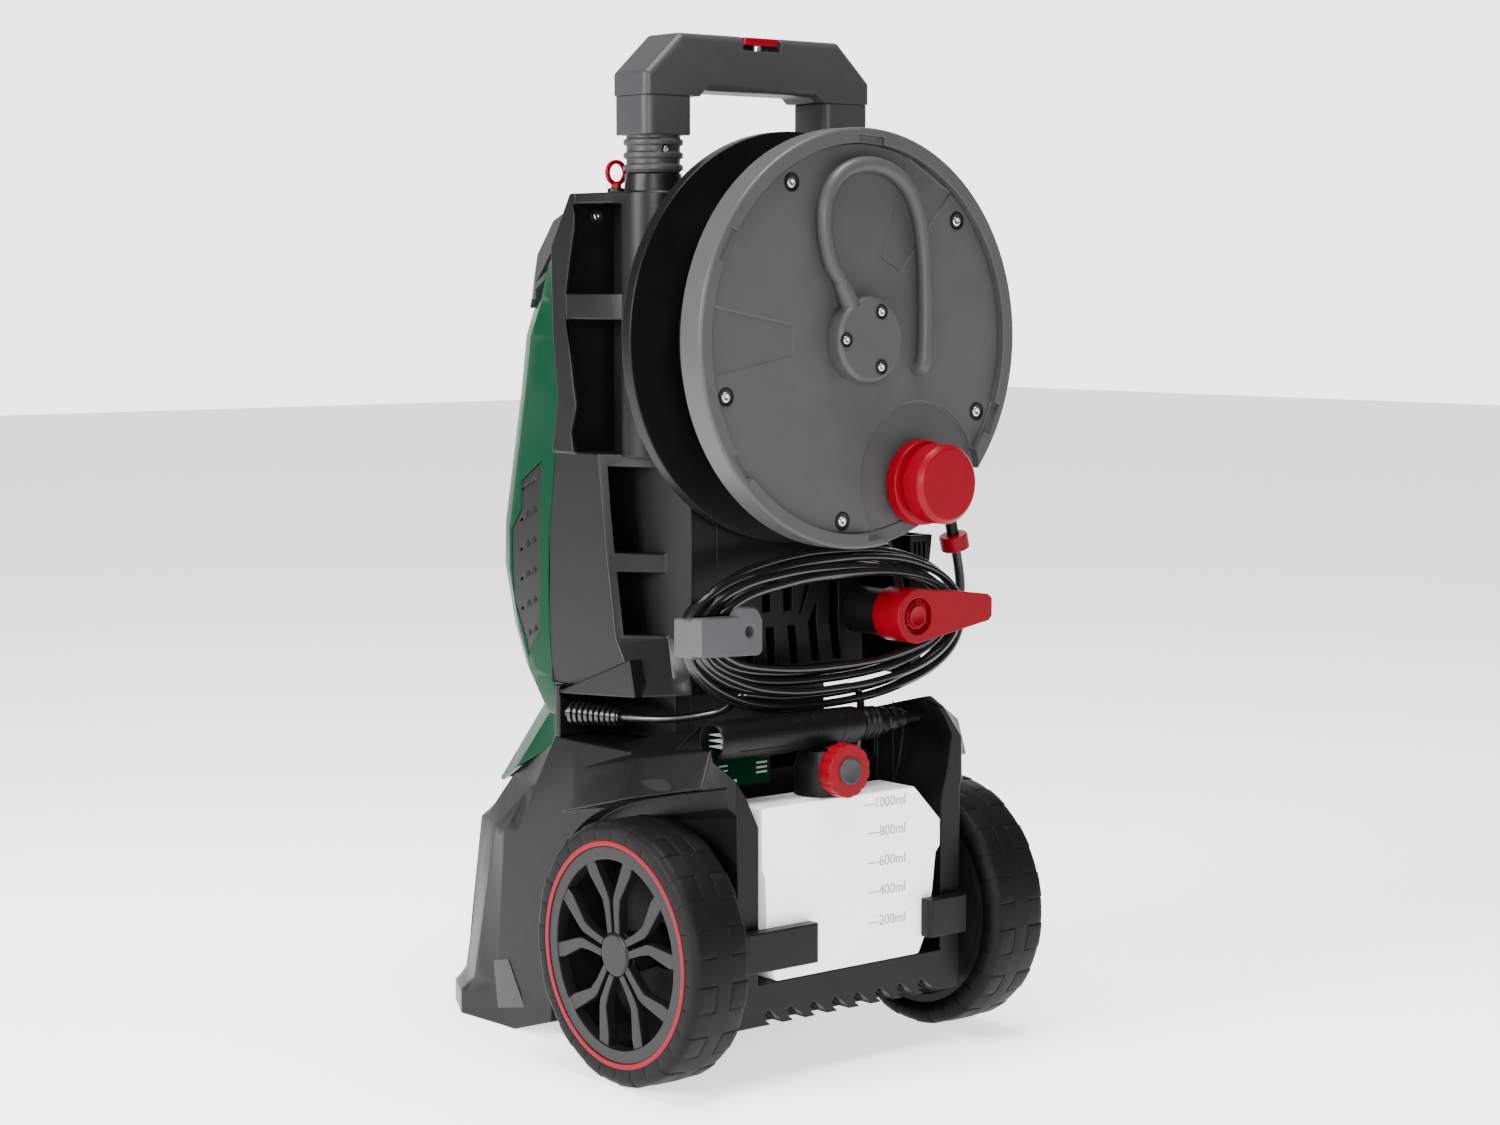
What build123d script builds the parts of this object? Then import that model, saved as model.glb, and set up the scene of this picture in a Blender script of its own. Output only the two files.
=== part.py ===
"""Pressure washer on two wheels: hose reel, retracting handle, foam bottle and cable hooks.

Millimetres. +Z is up, the control side faces -Y, the hose reel and the bottle face +Y.
The origin is on the floor, at the middle of the machine's footprint.
"""
import math
import os

from build123d import *

os.makedirs("parts", exist_ok=True)

# ---------------------------------------------------------------- driving dimensions
GAP = 0.35                 # clearance between bodies that move past each other
WALL = 3.5                 # moulded wall thickness

HEIGHT = 880.0             # floor to the top of the grip, handle pushed in

WHEEL_R = 112.0
WHEEL_W = 60.0
WHEEL_X = 169.0            # middle of each tyre
AXLE_Y = 107.0
AXLE_Z = WHEEL_R
AXLE_R = 6.0

FRONT_Y = -231.0           # tip of the front foot
TOE_HALF = 129.0
BASE_HALF = 150.0
WELL_X = 133.0             # outside face of the base inside the wheel arches
BASE_TOP = 272.0

SIDE_X = 131.5             # side face of the casing at the seam
FOLD_X = 136.0             # side face of the rear casing at its rear fold
LEDGE_Z = 523.0            # where the upright columns start
HOLDER_X = 70.0            # joint between the middle of the casing and the accessory holders
CASE_TOP = 746.0

HANDLE_X = 100.0           # columns, left and right of the middle
HANDLE_Y = 38.0
COLUMN_R = 28.0
TUBE_R = 12.5
NECK_Z = 762.0
SLEEVE_TOP = 794.0
GRIP_SEAM = 835.0
GRIP_HALF_DEPTH = 25.0

REEL_Z = 622.0
REEL_R = 176.0
REEL_REAR = 92.0           # outer face of the rear flange
REEL_FRONT = 196.0         # face of the front ring
HOSE_D = 9.0
DRUM_R = 115.0
HOSE_OUTER_R = 135.0
WINDING = (105.0, 165.0)   # the wound hose, along the reel's axis
COVER_FACE = 189.0
REEL_SHAFT_R = 15.0
CRANK_X = -66.0
CRANK_Z = 499.5
CRANK_TOP = 231.0

HOOK_X = 92.5
HOOK_Z = 380.0
HOOK_ARM = (151.0, 165.0)  # the arms of the two cable hooks
CABLE_D = 7.0
COIL_Y = (119.0, 147.0)
COIL_LENGTH = 324.0
COIL_HEIGHT = 141.0
COIL_BAND = 34.0
COIL_X = -19.0
COIL_Z = 374.5

BOTTLE_REAR = 185.0
BOTTLE_FRONT = 139.0
BOTTLE_HALF = 101.0
BOTTLE_FLOOR = 87.0
BOTTLE_TOP = 235.0
NECK_X = 16.0
NECK_Y = 160.0
NOZZLE_Z = 291.0
NOZZLE_Y = 159.0
NOZZLE_R = 16.5

MOTOR_Y = -72.0

GLAND_START = Vector(133, -50, 293)
GLAND_DIR = Vector(-0.3, 0.954, 0).normalized()
GLAND_LENGTH = 62.0
GLAND_END = GLAND_START + GLAND_DIR * GLAND_LENGTH

# Height, seam (where green cover meets black casing) and front face of the casing.
CASE_LEVELS = [
    (287, -60, -137),
    (322, -68, -165),
    (358, -73, -182),
    (412, -75, -197),
    (450, -73, -196),
    (517, -64, -181),
    (570, -53, -170),
    (622, -60, -161),
    (655, -61, -144),
    (700, -62, -128),
]


# ---------------------------------------------------------------- helpers
def finish(piece, name):
    """Label a finished sub-part and write it as its own node."""
    piece.part.label = name
    export_step(piece.part, f"parts/{name}.step")


def both_sides(half):
    """Close a plan outline from its +X half."""
    return half + [(-x, y) for x, y in reversed(half)]


def stack(levels, mode=Mode.ADD):
    """Ruled loft through plan outlines: (height, +X half of the outline)."""
    outlines = []
    for height, half in levels:
        with BuildSketch(Plane.XY.offset(height)) as outline:
            Polygon(*both_sides(half), align=None)
        outlines.append(outline.sketch)
    loft(outlines, ruled=True, mode=mode)


def slab_z(outline, z0, z1, mode=Mode.ADD):
    """Extrude a plan outline from z0 up to z1."""
    with BuildSketch(Plane.XY.offset(z0)) as face:
        Polygon(*outline, align=None)
    extrude(face.sketch, amount=z1 - z0, mode=mode)


def slab_y(outline, y0, y1, mode=Mode.ADD):
    """Extrude an (x, z) outline from y0 back to y1."""
    with BuildSketch(Plane.XZ.offset(-y0)) as face:
        Polygon(*outline, align=None)
    extrude(face.sketch, amount=y0 - y1, mode=mode)


def slab_x(outline, x0, x1, mode=Mode.ADD):
    """Extrude a (y, z) outline from x0 to x1."""
    with BuildSketch(Plane.YZ.offset(x0)) as face:
        Polygon(*outline, align=None)
    extrude(face.sketch, amount=x1 - x0, mode=mode)


def rod_y(x, z, radius, y0, y1, mode=Mode.ADD):
    """A round bar along Y."""
    with BuildSketch(Plane.XZ.offset(-y0)) as face:
        with Locations((x, z)):
            Circle(radius)
    extrude(face.sketch, amount=y0 - y1, mode=mode)


def rod_z(x, y, radius, z0, z1, mode=Mode.ADD):
    """A round bar along Z."""
    with BuildSketch(Plane.XY.offset(z0)) as face:
        with Locations((x, y)):
            Circle(radius)
    extrude(face.sketch, amount=z1 - z0, mode=mode)


def rod_x(y, z, radius, x0, x1, mode=Mode.ADD):
    """A round bar along X."""
    with BuildSketch(Plane.YZ.offset(x0)) as face:
        with Locations((y, z)):
            Circle(radius)
    extrude(face.sketch, amount=x1 - x0, mode=mode)


def turn_y(profile, x, z, mode=Mode.ADD):
    """Turn a (y, radius) profile about the Y-wise line through (x, z)."""
    plane = Plane(origin=(x, 0, z), x_dir=(0, 1, 0), z_dir=(1, 0, 0))
    with BuildSketch(plane) as face:
        Polygon(*profile, align=None)
    revolve(face.sketch, axis=Axis((x, 0, z), (0, 1, 0)), mode=mode)


def turn_x(profile, y, z, mode=Mode.ADD):
    """Turn an (x, radius) profile about the X-wise line through (y, z)."""
    plane = Plane(origin=(0, y, z), x_dir=(1, 0, 0), z_dir=(0, -1, 0))
    with BuildSketch(plane) as face:
        Polygon(*profile, align=None)
    revolve(face.sketch, axis=Axis((0, y, z), (1, 0, 0)), mode=mode)


def turn_z(profile, x, y, mode=Mode.ADD):
    """Turn a (radius, z) profile about the upright line through (x, y)."""
    with BuildSketch(Plane(origin=(x, y, 0), x_dir=(1, 0, 0), z_dir=(0, -1, 0))) as face:
        Polygon(*profile, align=None)
    revolve(face.sketch, axis=Axis((x, y, 0), (0, 0, 1)), mode=mode)


def hose_solid(points, diameter, name):
    """A round cord along straight runs joined by arcs as large as the runs allow."""
    corners = [Vector(*p) for p in points]
    radii = []
    for before, corner, after in zip(corners, corners[1:], corners[2:]):
        half_turn = math.radians((corner - before).get_angle(after - corner)) / 2
        shorter = min((corner - before).length, (after - corner).length)
        radii.append(0.45 * shorter / math.tan(half_turn))
    print(name, "radii", [round(r, 1) for r in radii])
    with BuildPart() as tube:
        with BuildLine() as route:
            FilletPolyline(*points, radius=radii)
        with BuildSketch(Plane(origin=points[0], z_dir=corners[1] - corners[0])):
            Circle(diameter / 2)
        sweep(path=route.wires()[0])
    length = route.wires()[0].length
    section = math.pi * diameter**2 / 4
    print(name, "length", round(length), "volume ratio", round(tube.part.volume / (section * length), 4))
    return tube


def case_half(seam, front, inset=0.0):
    """+X half of the green cover's plan outline at one level."""
    return [
        (92 - inset * 0.5, front + inset),
        (124 - inset * 0.8, front + 52 + inset * 0.6),
        (SIDE_X - inset, seam),
    ]


# ---------------------------------------------------------------- base
ARCH = [(-46, 132), (-33, 165), (-6, 198), (31, 219), (80, 234), (138, 247), (212, 262)]
TRIM_FRONT = (-166, 219)   # slanting joint between the black base and the green skirt
TRIM_REAR = (-58, 264)

with BuildPart() as base_shell:
    stack([
        (0, [(TOE_HALF, FRONT_Y), (155, -183), (152, -120), (152, 60)]),
        (20, [(TOE_HALF, FRONT_Y), (155, -183), (152, -120), (152, 60)]),
        (37, [(TOE_HALF, -212), (152, -165), (151, -110), (151, 60)]),
        (180, [(127, -189), (150, -118), (150, -60), (150, 60)]),
        (222, [(122, -146), (148, -74), (150, -40), (150, 60)]),
        (BASE_TOP, [(114, -100), (142, -50), (144, -20), (144, 60)]),
    ])
    # the rear of the base, down to the bar under the bottle
    slab_z(both_sides([(127, 40), (127, 183)]), 50, 250)
    # the mudguards, which flare over the wheels and rise to the shoulders
    for side in (1, -1):
        for y, outline in (
            (-62, [(100, 200), (146, 200), (142, 236), (132, 248), (100, 248)]),
            (80, [(100, 200), (166, 236), (151, 270), (124, 288), (100, 288)]),
            (165, [(100, 200), (151, 254), (141, 285), (108, 309), (100, 309)]),
            (183, [(100, 200), (128, 232), (128, 272), (106, 302), (100, 302)]),
        ):
            with BuildSketch(Plane.XZ.offset(-y)):
                Polygon(*[(side * x, z) for x, z in outline], align=None)
        loft(ruled=True)
    # wheel arches
    for x0, x1 in ((WELL_X, 210), (-210, -WELL_X)):
        with BuildSketch(Plane.YZ.offset(x0)):
            with BuildLine():
                Polyline((-46, 132), (-46, -10), (240, -10), (240, 268), (212, 262))
                Spline(*ARCH)
            make_face()
        extrude(amount=x1 - x0, mode=Mode.SUBTRACT)
    # everything above the slanting joint with the green skirt
    slab_x([TRIM_FRONT, TRIM_REAR, (-58, 330), (-300, 330), (-300, 163)], -210, 210, Mode.SUBTRACT)
    # underside rises behind the foot
    slab_x([(-120, -5), (60, 50), (60, -5)], -210, 210, Mode.SUBTRACT)
    # inside of the foot, open below, and of the base above its floor
    stack([
        (-1, [(122, -222), (147, -181), (147, -120), (128, -60)]),
        (20, [(122, -222), (147, -181), (147, -120), (128, -60)]),
        (37, [(122, -205), (146, -163), (146, -110), (128, -60)]),
        (48, [(122, -203), (146, -160), (146, -110), (128, -60)]),
    ], Mode.SUBTRACT)
    stack([
        (56, [(122, -202), (146, -158), (128, -90), (128, 60)]),
        (180, [(121, -182), (145, -116), (128, -90), (128, 60)]),
        (216, [(116, -146), (142, -76), (128, -60), (128, 60)]),
        (BASE_TOP - 4, [(108, -98), (136, -50), (128, -30), (128, 60)]),
    ], Mode.SUBTRACT)
    slab_z(both_sides([(123, 40), (123, 96)]), 56, BASE_TOP - 4, Mode.SUBTRACT)
    slab_z(both_sides([(100, 90), (100, 116)]), 56, 146, Mode.SUBTRACT)
    # bottle recess, flared at its mouth, with a deeper upper part; the foam nozzle lies in its top
    slab_y([(-104, BOTTLE_FLOOR - 0.4), (104, BOTTLE_FLOOR - 0.4), (104, 219), (118, 247), (140, 276),
            (140, 330), (-96, 330), (-96, 306), (-108, 292), (-117, 276), (-112, 247), (-104, 219)],
           120, 190, Mode.SUBTRACT)
    slab_y([(-104, 150), (104, 150), (104, 330), (-104, 330)], 100, 121, Mode.SUBTRACT)
    # hollow rear posts, open below
    for x0, x1 in ((107.5, 123.5), (-123.5, -107.5)):
        slab_z([(x0, 124), (x1, 124), (x1, 179.5), (x0, 179.5)], 40, 216, Mode.SUBTRACT)
    # opening under the casing
    slab_z(both_sides([(84, -110), (84, 46)]), BASE_TOP - 30, BASE_TOP + 2, Mode.SUBTRACT)
    # holes for the water connections
    rod_y(60, 125, 15.05, -230, -140, Mode.SUBTRACT)
    rod_y(-60, 125, 12.05, -230, -140, Mode.SUBTRACT)
    # slanting drain slots in the rear bar
    with BuildSketch(Plane.XZ.offset(-170)):
        with GridLocations(25, 1, 8, 1):
            with Locations((0, 54)):
                SlotOverall(22, 9, rotation=38)
    extrude(amount=-30, mode=Mode.SUBTRACT)
    # axle holes
    rod_x(AXLE_Y, AXLE_Z, AXLE_R, -160, 160, Mode.SUBTRACT)
finish(base_shell, "base_shell")

# ---------------------------------------------------------------- front covers
with BuildPart() as front_panel:
    stack([(z, [(50, front - 4), (50, front + 7)]) for z, seam, front in CASE_LEVELS[2:8]])
    rod_y(0, 560, 21, -200, -168, Mode.SUBTRACT)
    rod_y(0, 560, 3.4, -170, -150, Mode.SUBTRACT)
finish(front_panel, "front_panel")

VENT = [(-88, 513), (-124, 493), (-124, 467), (-141, 448), (-139, 385), (-119, 350), (-115, 337),
        (-92, 360)]

with BuildPart() as front_cover:
    stack([(z, case_half(seam, front)) for z, seam, front in CASE_LEVELS])
    inner = [(z, case_half(seam + 3, front, WALL)) for z, seam, front in CASE_LEVELS]
    stack([(286, inner[0][1])] + inner[1:-1] + [(701, inner[-1][1])], Mode.SUBTRACT)
    # slanting top edge under the front grip
    slab_x([(-62, 700), (-150, 644), (-260, 644), (-260, 760), (-20, 760), (-20, 700)],
           -150, 150, Mode.SUBTRACT)
    add(front_panel.part, mode=Mode.SUBTRACT)
    slab_y([(-50, 358), (50, 358), (50, 622), (-50, 622)], -230, -150, Mode.SUBTRACT)
    for x0, x1 in ((100, 140), (-140, -100)):
        slab_x(VENT, x0, x1, Mode.SUBTRACT)
finish(front_cover, "front_cover")

# ---------------------------------------------------------------- rear casing
with BuildPart() as casing:
    # lower block between the ledge and the cable groove
    stack([
        (318, [(SIDE_X, -68), (138, 62), (112, 80), (98, 86)]),
        (366, [(SIDE_X, -73), (FOLD_X, 28), (103, 60), (98, 86)]),
        (450, [(SIDE_X, -72.5), (FOLD_X, 14), (103, 58), (98, 86)]),
        (LEDGE_Z, [(SIDE_X, -62.6), (FOLD_X, 5), (103, 56), (98, 84)]),
    ])
    # groove for the mains lead, under the block
    slab_z(both_sides([(86, -58), (86, 48)]), BASE_TOP, 319)
    stack([
        (BASE_TOP, [(SIDE_X, -59.5), (SIDE_X, -50), (84, -50)]),
        (287, [(SIDE_X, -59.5), (SIDE_X, -50), (84, -50)]),
        (322, [(SIDE_X, -67.6), (SIDE_X, -50), (84, -50)]),
    ])
    # hip above the groove
    slab_x([(-48, 312), (56, 350), (64, 318), (-40, 311)], 128, 142)
    slab_x([(-48, 312), (11, 333.5), (11, 315), (-40, 311)], -142, -128)
    # plate that holds the mains cable's strain relief
    slab_z([(112, -50.1), (143, -50.1), (143, -43), (112, -43)], BASE_TOP, 318.1)
    # upper casing: front web, middle spine, side strips and columns
    stack([
        (LEDGE_Z, [(SIDE_X, -62.6), (SIDE_X, -52), (72, -40), (72, 62)]),
        (570, [(SIDE_X, -52.6), (SIDE_X, -46), (72, -40), (72, 62)]),
        (622, [(SIDE_X, -59.6), (SIDE_X, -52), (72, -40), (72, 62)]),
        (700, [(SIDE_X, -61.6), (SIDE_X, -52), (72, -40), (72, 62)]),
        (CASE_TOP, [(SIDE_X, -34), (SIDE_X, -28), (72, -26), (72, 62)]),
    ])
    for side in (1, -1):
        x0, x1 = sorted((side * (FOLD_X - 5), side * FOLD_X))
        slab_x([(-62, LEDGE_Z - 1), (-30, LEDGE_Z - 1), (-34, 540), (-26, 563), (-30, 581), (-39, 640),
                (-41, 660), (-34, 692), (-28, 716), (-26, CASE_TOP), (-34, CASE_TOP), (-62, 700),
                (-60, 622), (-53, 570)], x0, x1)
        rod_z(side * HANDLE_X, HANDLE_Y, COLUMN_R, LEDGE_Z - 2, CASE_TOP)
        slab_z([(side * x, y) for x, y in ((70, -30), (92, -30), (102, 36), (70, 62))],
               LEDGE_Z - 1, CASE_TOP)
        # curved bar across the pocket
        slab_z([(side * x, y) for x, y in ((90, -52), (131, -52), (FOLD_X, -38), (135, -12), (131, 18),
                                           (122, 42), (110, 58), (100, 62))], 638, 660)
        # top plate
        slab_z([(side * x, y) for x, y in ((70, -33), (133, -33), (FOLD_X, -28), (134, 20), (124, 48),
                                           (108, 64), (70, 62))], CASE_TOP - 9, CASE_TOP)
    # inside of the block, the spine and the groove
    stack([
        (322, [(SIDE_X - WALL, -90), (98, -60), (98, 60), (94, 82)]),
        (LEDGE_Z - 4, [(SIDE_X - WALL, -90), (98, -60), (98, 52), (94, 80)]),
    ], Mode.SUBTRACT)
    slab_z(both_sides([(68, -90), (68, 58)]), LEDGE_Z - 5, 692, Mode.SUBTRACT)
    slab_z(both_sides([(68, -24), (68, 58)]), 690, CASE_TOP - 4, Mode.SUBTRACT)
    slab_z(both_sides([(82, -90), (82, 44)]), BASE_TOP - 1, 323, Mode.SUBTRACT)
    slab_z(both_sides([(127, -90), (127, 20), (98, 50)]), 322, 364, Mode.SUBTRACT)
    # joint with the green cover
    add(front_cover.part, mode=Mode.SUBTRACT)
    # accessory pockets: two each side in the slanting rear face
    for side in (1, -1):
        for z0, z1 in ((438, 512), (368, 422)):
            slab_z([(side * x, y) for x, y in ((103, -44), (131, -44), (131, 18), (124, 90), (103, 90))],
                   z0, z1, Mode.SUBTRACT)
        # collar, socket and guides of each handle tube
        turn_z([(0, CASE_TOP - 1), (25, CASE_TOP - 1), (24, NECK_Z), (0, NECK_Z)], side * HANDLE_X, HANDLE_Y)
        rod_z(side * HANDLE_X, HANDLE_Y, TUBE_R + 0.06, LEDGE_Z + 8, NECK_Z + 1, Mode.SUBTRACT)
        rod_z(side * HANDLE_X, HANDLE_Y, COLUMN_R - 4, 560, 722, Mode.SUBTRACT)
    # socket of the cleaning needle
    rod_z(117, 8, 7.5, CASE_TOP - 1, CASE_TOP + 4)
    rod_z(117, 8, 4.8, CASE_TOP, CASE_TOP + 5, Mode.SUBTRACT)
    rod_z(117, 8, 2.06, 738, CASE_TOP + 1, Mode.SUBTRACT)
    # cooling air
    with BuildSketch(Plane.XZ.offset(-70)):
        with Locations((0, 372)):
            Rectangle(150, 76)
    extrude(amount=-30, mode=Mode.SUBTRACT)
    # reel bearing seat
    rod_y(0, REEL_Z, REEL_SHAFT_R, 30, 70, Mode.SUBTRACT)
    # posts that carry the cable hooks
    for side in (1, -1):
        slab_y([(side * x, z) for x, z in ((80, 364), (97.5, 364), (97.5, 396), (80, 396))], 84, 94)
        rod_y(side * HOOK_X, HOOK_Z, 9.4, 84, 130 if side > 0 else 163)
        rod_y(side * HOOK_X, HOOK_Z, 19 if side > 0 else 21, 88.3, 118 if side > 0 else 130.4)
    rod_y(-HOOK_X, HOOK_Z, 3, 100, 164, Mode.SUBTRACT)
    # hole for the strain relief
    with BuildSketch(Plane(origin=GLAND_START - GLAND_DIR * 14, z_dir=GLAND_DIR)):
        Circle(7)
    extrude(amount=30, mode=Mode.SUBTRACT)

# The casing is moulded in three pieces: the middle, and the accessory holders left and right.
with BuildPart() as rear_housing:
    add(casing.part)
    Box(2 * HOLDER_X, 600, 2000, mode=Mode.INTERSECT)
finish(rear_housing, "rear_housing")

with BuildPart() as accessory_holders:
    add(casing.part)
    Box(2 * HOLDER_X, 600, 2000, mode=Mode.SUBTRACT)
finish(accessory_holders, "accessory_holders")

with BuildPart() as reel_shaft:
    turn_y([(62, REEL_SHAFT_R), (62, 58), (70, 58), (90, 30), (90, REEL_SHAFT_R)], 0, REEL_Z)
    for angle in range(0, 360, 60):
        x = 50 * math.cos(math.radians(angle))
        z = REEL_Z + 50 * math.sin(math.radians(angle))
        rod_y(x, z, 2.5, 60, 75, Mode.SUBTRACT)
    rod_y(0, REEL_Z, REEL_SHAFT_R, 32, 187)
    rod_y(0, REEL_Z, 6, 30, 190, Mode.SUBTRACT)
finish(reel_shaft, "reel_shaft")

# ---------------------------------------------------------------- vents, skirt, grip and switch
with BuildPart() as side_vents:
    shell = CASE_LEVELS[1:6]
    stack([(z, case_half(seam, front, 0.8)) for z, seam, front in shell])
    stack([(z, case_half(seam + 3, front, WALL + 3)) for z, seam, front in shell], Mode.SUBTRACT)
    with BuildSketch(Plane.YZ.offset(-140)):
        Polygon(*[(y * 0.985 - 1.6, 425 + (z - 425) * 0.99) for y, z in VENT], align=None)
    extrude(amount=280, mode=Mode.INTERSECT)
    for k in range(6):
        z = 357 + 26.6 * k
        slab_x([(-98, z + 4), (-98, z + 6.5), (-126, z - 5), (-126, z - 7.5)], -140, 140, Mode.SUBTRACT)
finish(side_vents, "side_vents")

with BuildPart() as green_skirt:
    stack([
        (212, [(100, -196), (128, -150), (134, -60)]),
        (287, [(92, -137), (124, -85), (SIDE_X, -60)]),
    ])
    stack([
        (211, [(98, -192), (124, -146), (130, -59.9)]),
        (288, [(90, -133), (120, -82), (SIDE_X - 3.5, -59.9)]),
    ], Mode.SUBTRACT)
    slab_x([(-300, 163.6), (TRIM_FRONT[0], TRIM_FRONT[1] + 0.4), (TRIM_REAR[0], TRIM_REAR[1] + 0.4),
            (-20, 264.4), (-20, 100), (-300, 100)], -160, 160, Mode.SUBTRACT)
finish(green_skirt, "green_skirt")

with BuildPart() as front_grip:
    slab_x([(-36, 744), (-84, 724), (-123, 677), (-128, 660), (-128, 655), (-112, 655), (-110, 671),
            (-76, 710), (-58, 719), (-50, 716)], -117, 117)
    slab_z([(-88, -34), (88, -34), (88, -104), (-88, -104)], 640, 760, Mode.SUBTRACT)
    fillet(front_grip.edges().filter_by(Axis.X).filter_by(lambda e: e.center().Z > 672), 3)
    # deck that closes the casing under the grip
    slab_x([(-62.4, 699.5), (-62.4, 694), (-137, 646.5), (-137, 652)], -118, 118)
    add(front_cover.part, mode=Mode.SUBTRACT)
    add(casing.part, mode=Mode.SUBTRACT)
finish(front_grip, "front_grip")

with BuildPart() as power_switch:
    turn_y([(-199, 0), (-199, 17), (-197, 19), (-183, 20), (-168, 20), (-168, 0)], 0, 560)
    slab_y([(-4, 543), (4, 543), (4, 577), (-4, 577)], -207, -198)
    rod_y(0, 560, 3, -169, -141)
finish(power_switch, "power_switch")

# ---------------------------------------------------------------- water connections at the front
with BuildPart() as water_inlet:
    turn_y([(-228, 10), (-228, 13.2), (-206, 13.2), (-206, 19), (-201.3, 19), (-201.3, 15), (-150, 15),
            (-150, 10)], 60, 125)
finish(water_inlet, "water_inlet")

with BuildPart() as pressure_outlet:
    turn_y([(-222, 7), (-222, 10.5), (-208, 10.5), (-208, 17), (-201.3, 17), (-201.3, 12), (-150, 12),
            (-150, 7)], -60, 125)
finish(pressure_outlet, "pressure_outlet")

# ---------------------------------------------------------------- rear grille and hooks
GRILLE_SLOTS = [
    [(11.5, 385), (20.5, 385), (20.5, 406), (11.5, 406)],
    [(-13, 384.5), (-3.5, 384.5), (-3.5, 406), (-13, 406)],
    [(-23.6, 381), (-21.6, 381), (-28.5, 406), (-34, 406)],
    [(54.5, 338), (64.5, 338), (64.5, 371), (54.5, 371)],
    [(30, 338), (40, 338), (40, 371), (30, 371)],
    [(5, 338), (14.5, 338), (17, 371), (7.5, 371)],
    [(-21, 338), (-12, 338), (-8, 371), (-17, 371)],
    [(-45.5, 338), (-36.5, 338), (-32, 372), (-40, 388.5), (-42.2, 388.5), (-41.5, 372)],
    [(-70.5, 338), (-61.5, 338), (-56.6, 371), (-56.6, 406), (-67, 406), (-67, 371)],
]
with BuildPart() as rear_grille:
    slab_y([(-74.5, 334.5), (74.5, 334.5), (74.5, 409.5), (-74.5, 409.5)], 82, 88)
    for opening in GRILLE_SLOTS:
        slab_y(opening, 80, 90, Mode.SUBTRACT)
finish(rear_grille, "rear_grille")

with BuildPart() as cable_hook_fixed:
    slab_y([(84.5, 364), (84.5, 390), (89, 398), (94, 401), (105, 401), (110.5, 394), (150.5, 395),
            (150.5, 362.5), (88, 360)], *HOOK_ARM)
    slab_y([(144.5, 360), (150.5, 360), (150.5, 393), (144.5, 393)], 128, 152)
    rod_y(HOOK_X, HOOK_Z, 15, 120, 152)
    rod_y(HOOK_X, HOOK_Z, 9.46, 110, 130.1, Mode.SUBTRACT)
    rod_y(98, HOOK_Z + 1, 4.5, 153, 170, Mode.SUBTRACT)
    fillet(cable_hook_fixed.faces().sort_by(Axis.Y)[-1].outer_wire().edges(), 1.5)
finish(cable_hook_fixed, "cable_hook_fixed")

with BuildPart() as cable_hook_turning:
    rod_y(-HOOK_X, HOOK_Z, 24, 131, HOOK_ARM[1])
    slab_y([(-HOOK_X, 356), (-HOOK_X, 404), (-140, 399), (-177, 394), (-182, 390), (-182, 374),
            (-178, 370), (-130, 362)], *HOOK_ARM)
    rod_y(-HOOK_X, HOOK_Z, 16, 158, 170, Mode.SUBTRACT)
    rod_y(-HOOK_X, HOOK_Z, 12, 157, 163)
    rod_y(-HOOK_X, HOOK_Z, 9.45, 120, 170, Mode.SUBTRACT)
    fillet(cable_hook_turning.edges().filter_by(Axis.Y).filter_by(lambda e: e.center().X < -150), 3)
finish(cable_hook_turning, "cable_hook_turning")

# Holder for the spray gun on the right side: a tapering pocket, open at the top.
with BuildPart() as gun_holder:
    slab_y([(-138.3, 318), (-150, 318), (-165, 444), (-138.3, 444)], 12, 105)
    slab_y([(-141.5, 325), (-147, 325), (-162, 446), (-141.5, 446)], 16, 101, Mode.SUBTRACT)
    slab_y([(-136.1, 372), (-139, 372), (-139, 440), (-136.1, 440)], 12, 19)
    for x in (-144, -149.5, -155):
        slab_y([(x - 1.2, 422), (x + 1.2, 422), (x + 1.2, 438), (x - 1.2, 438)], 100, 106, Mode.SUBTRACT)
finish(gun_holder, "gun_holder")

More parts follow.
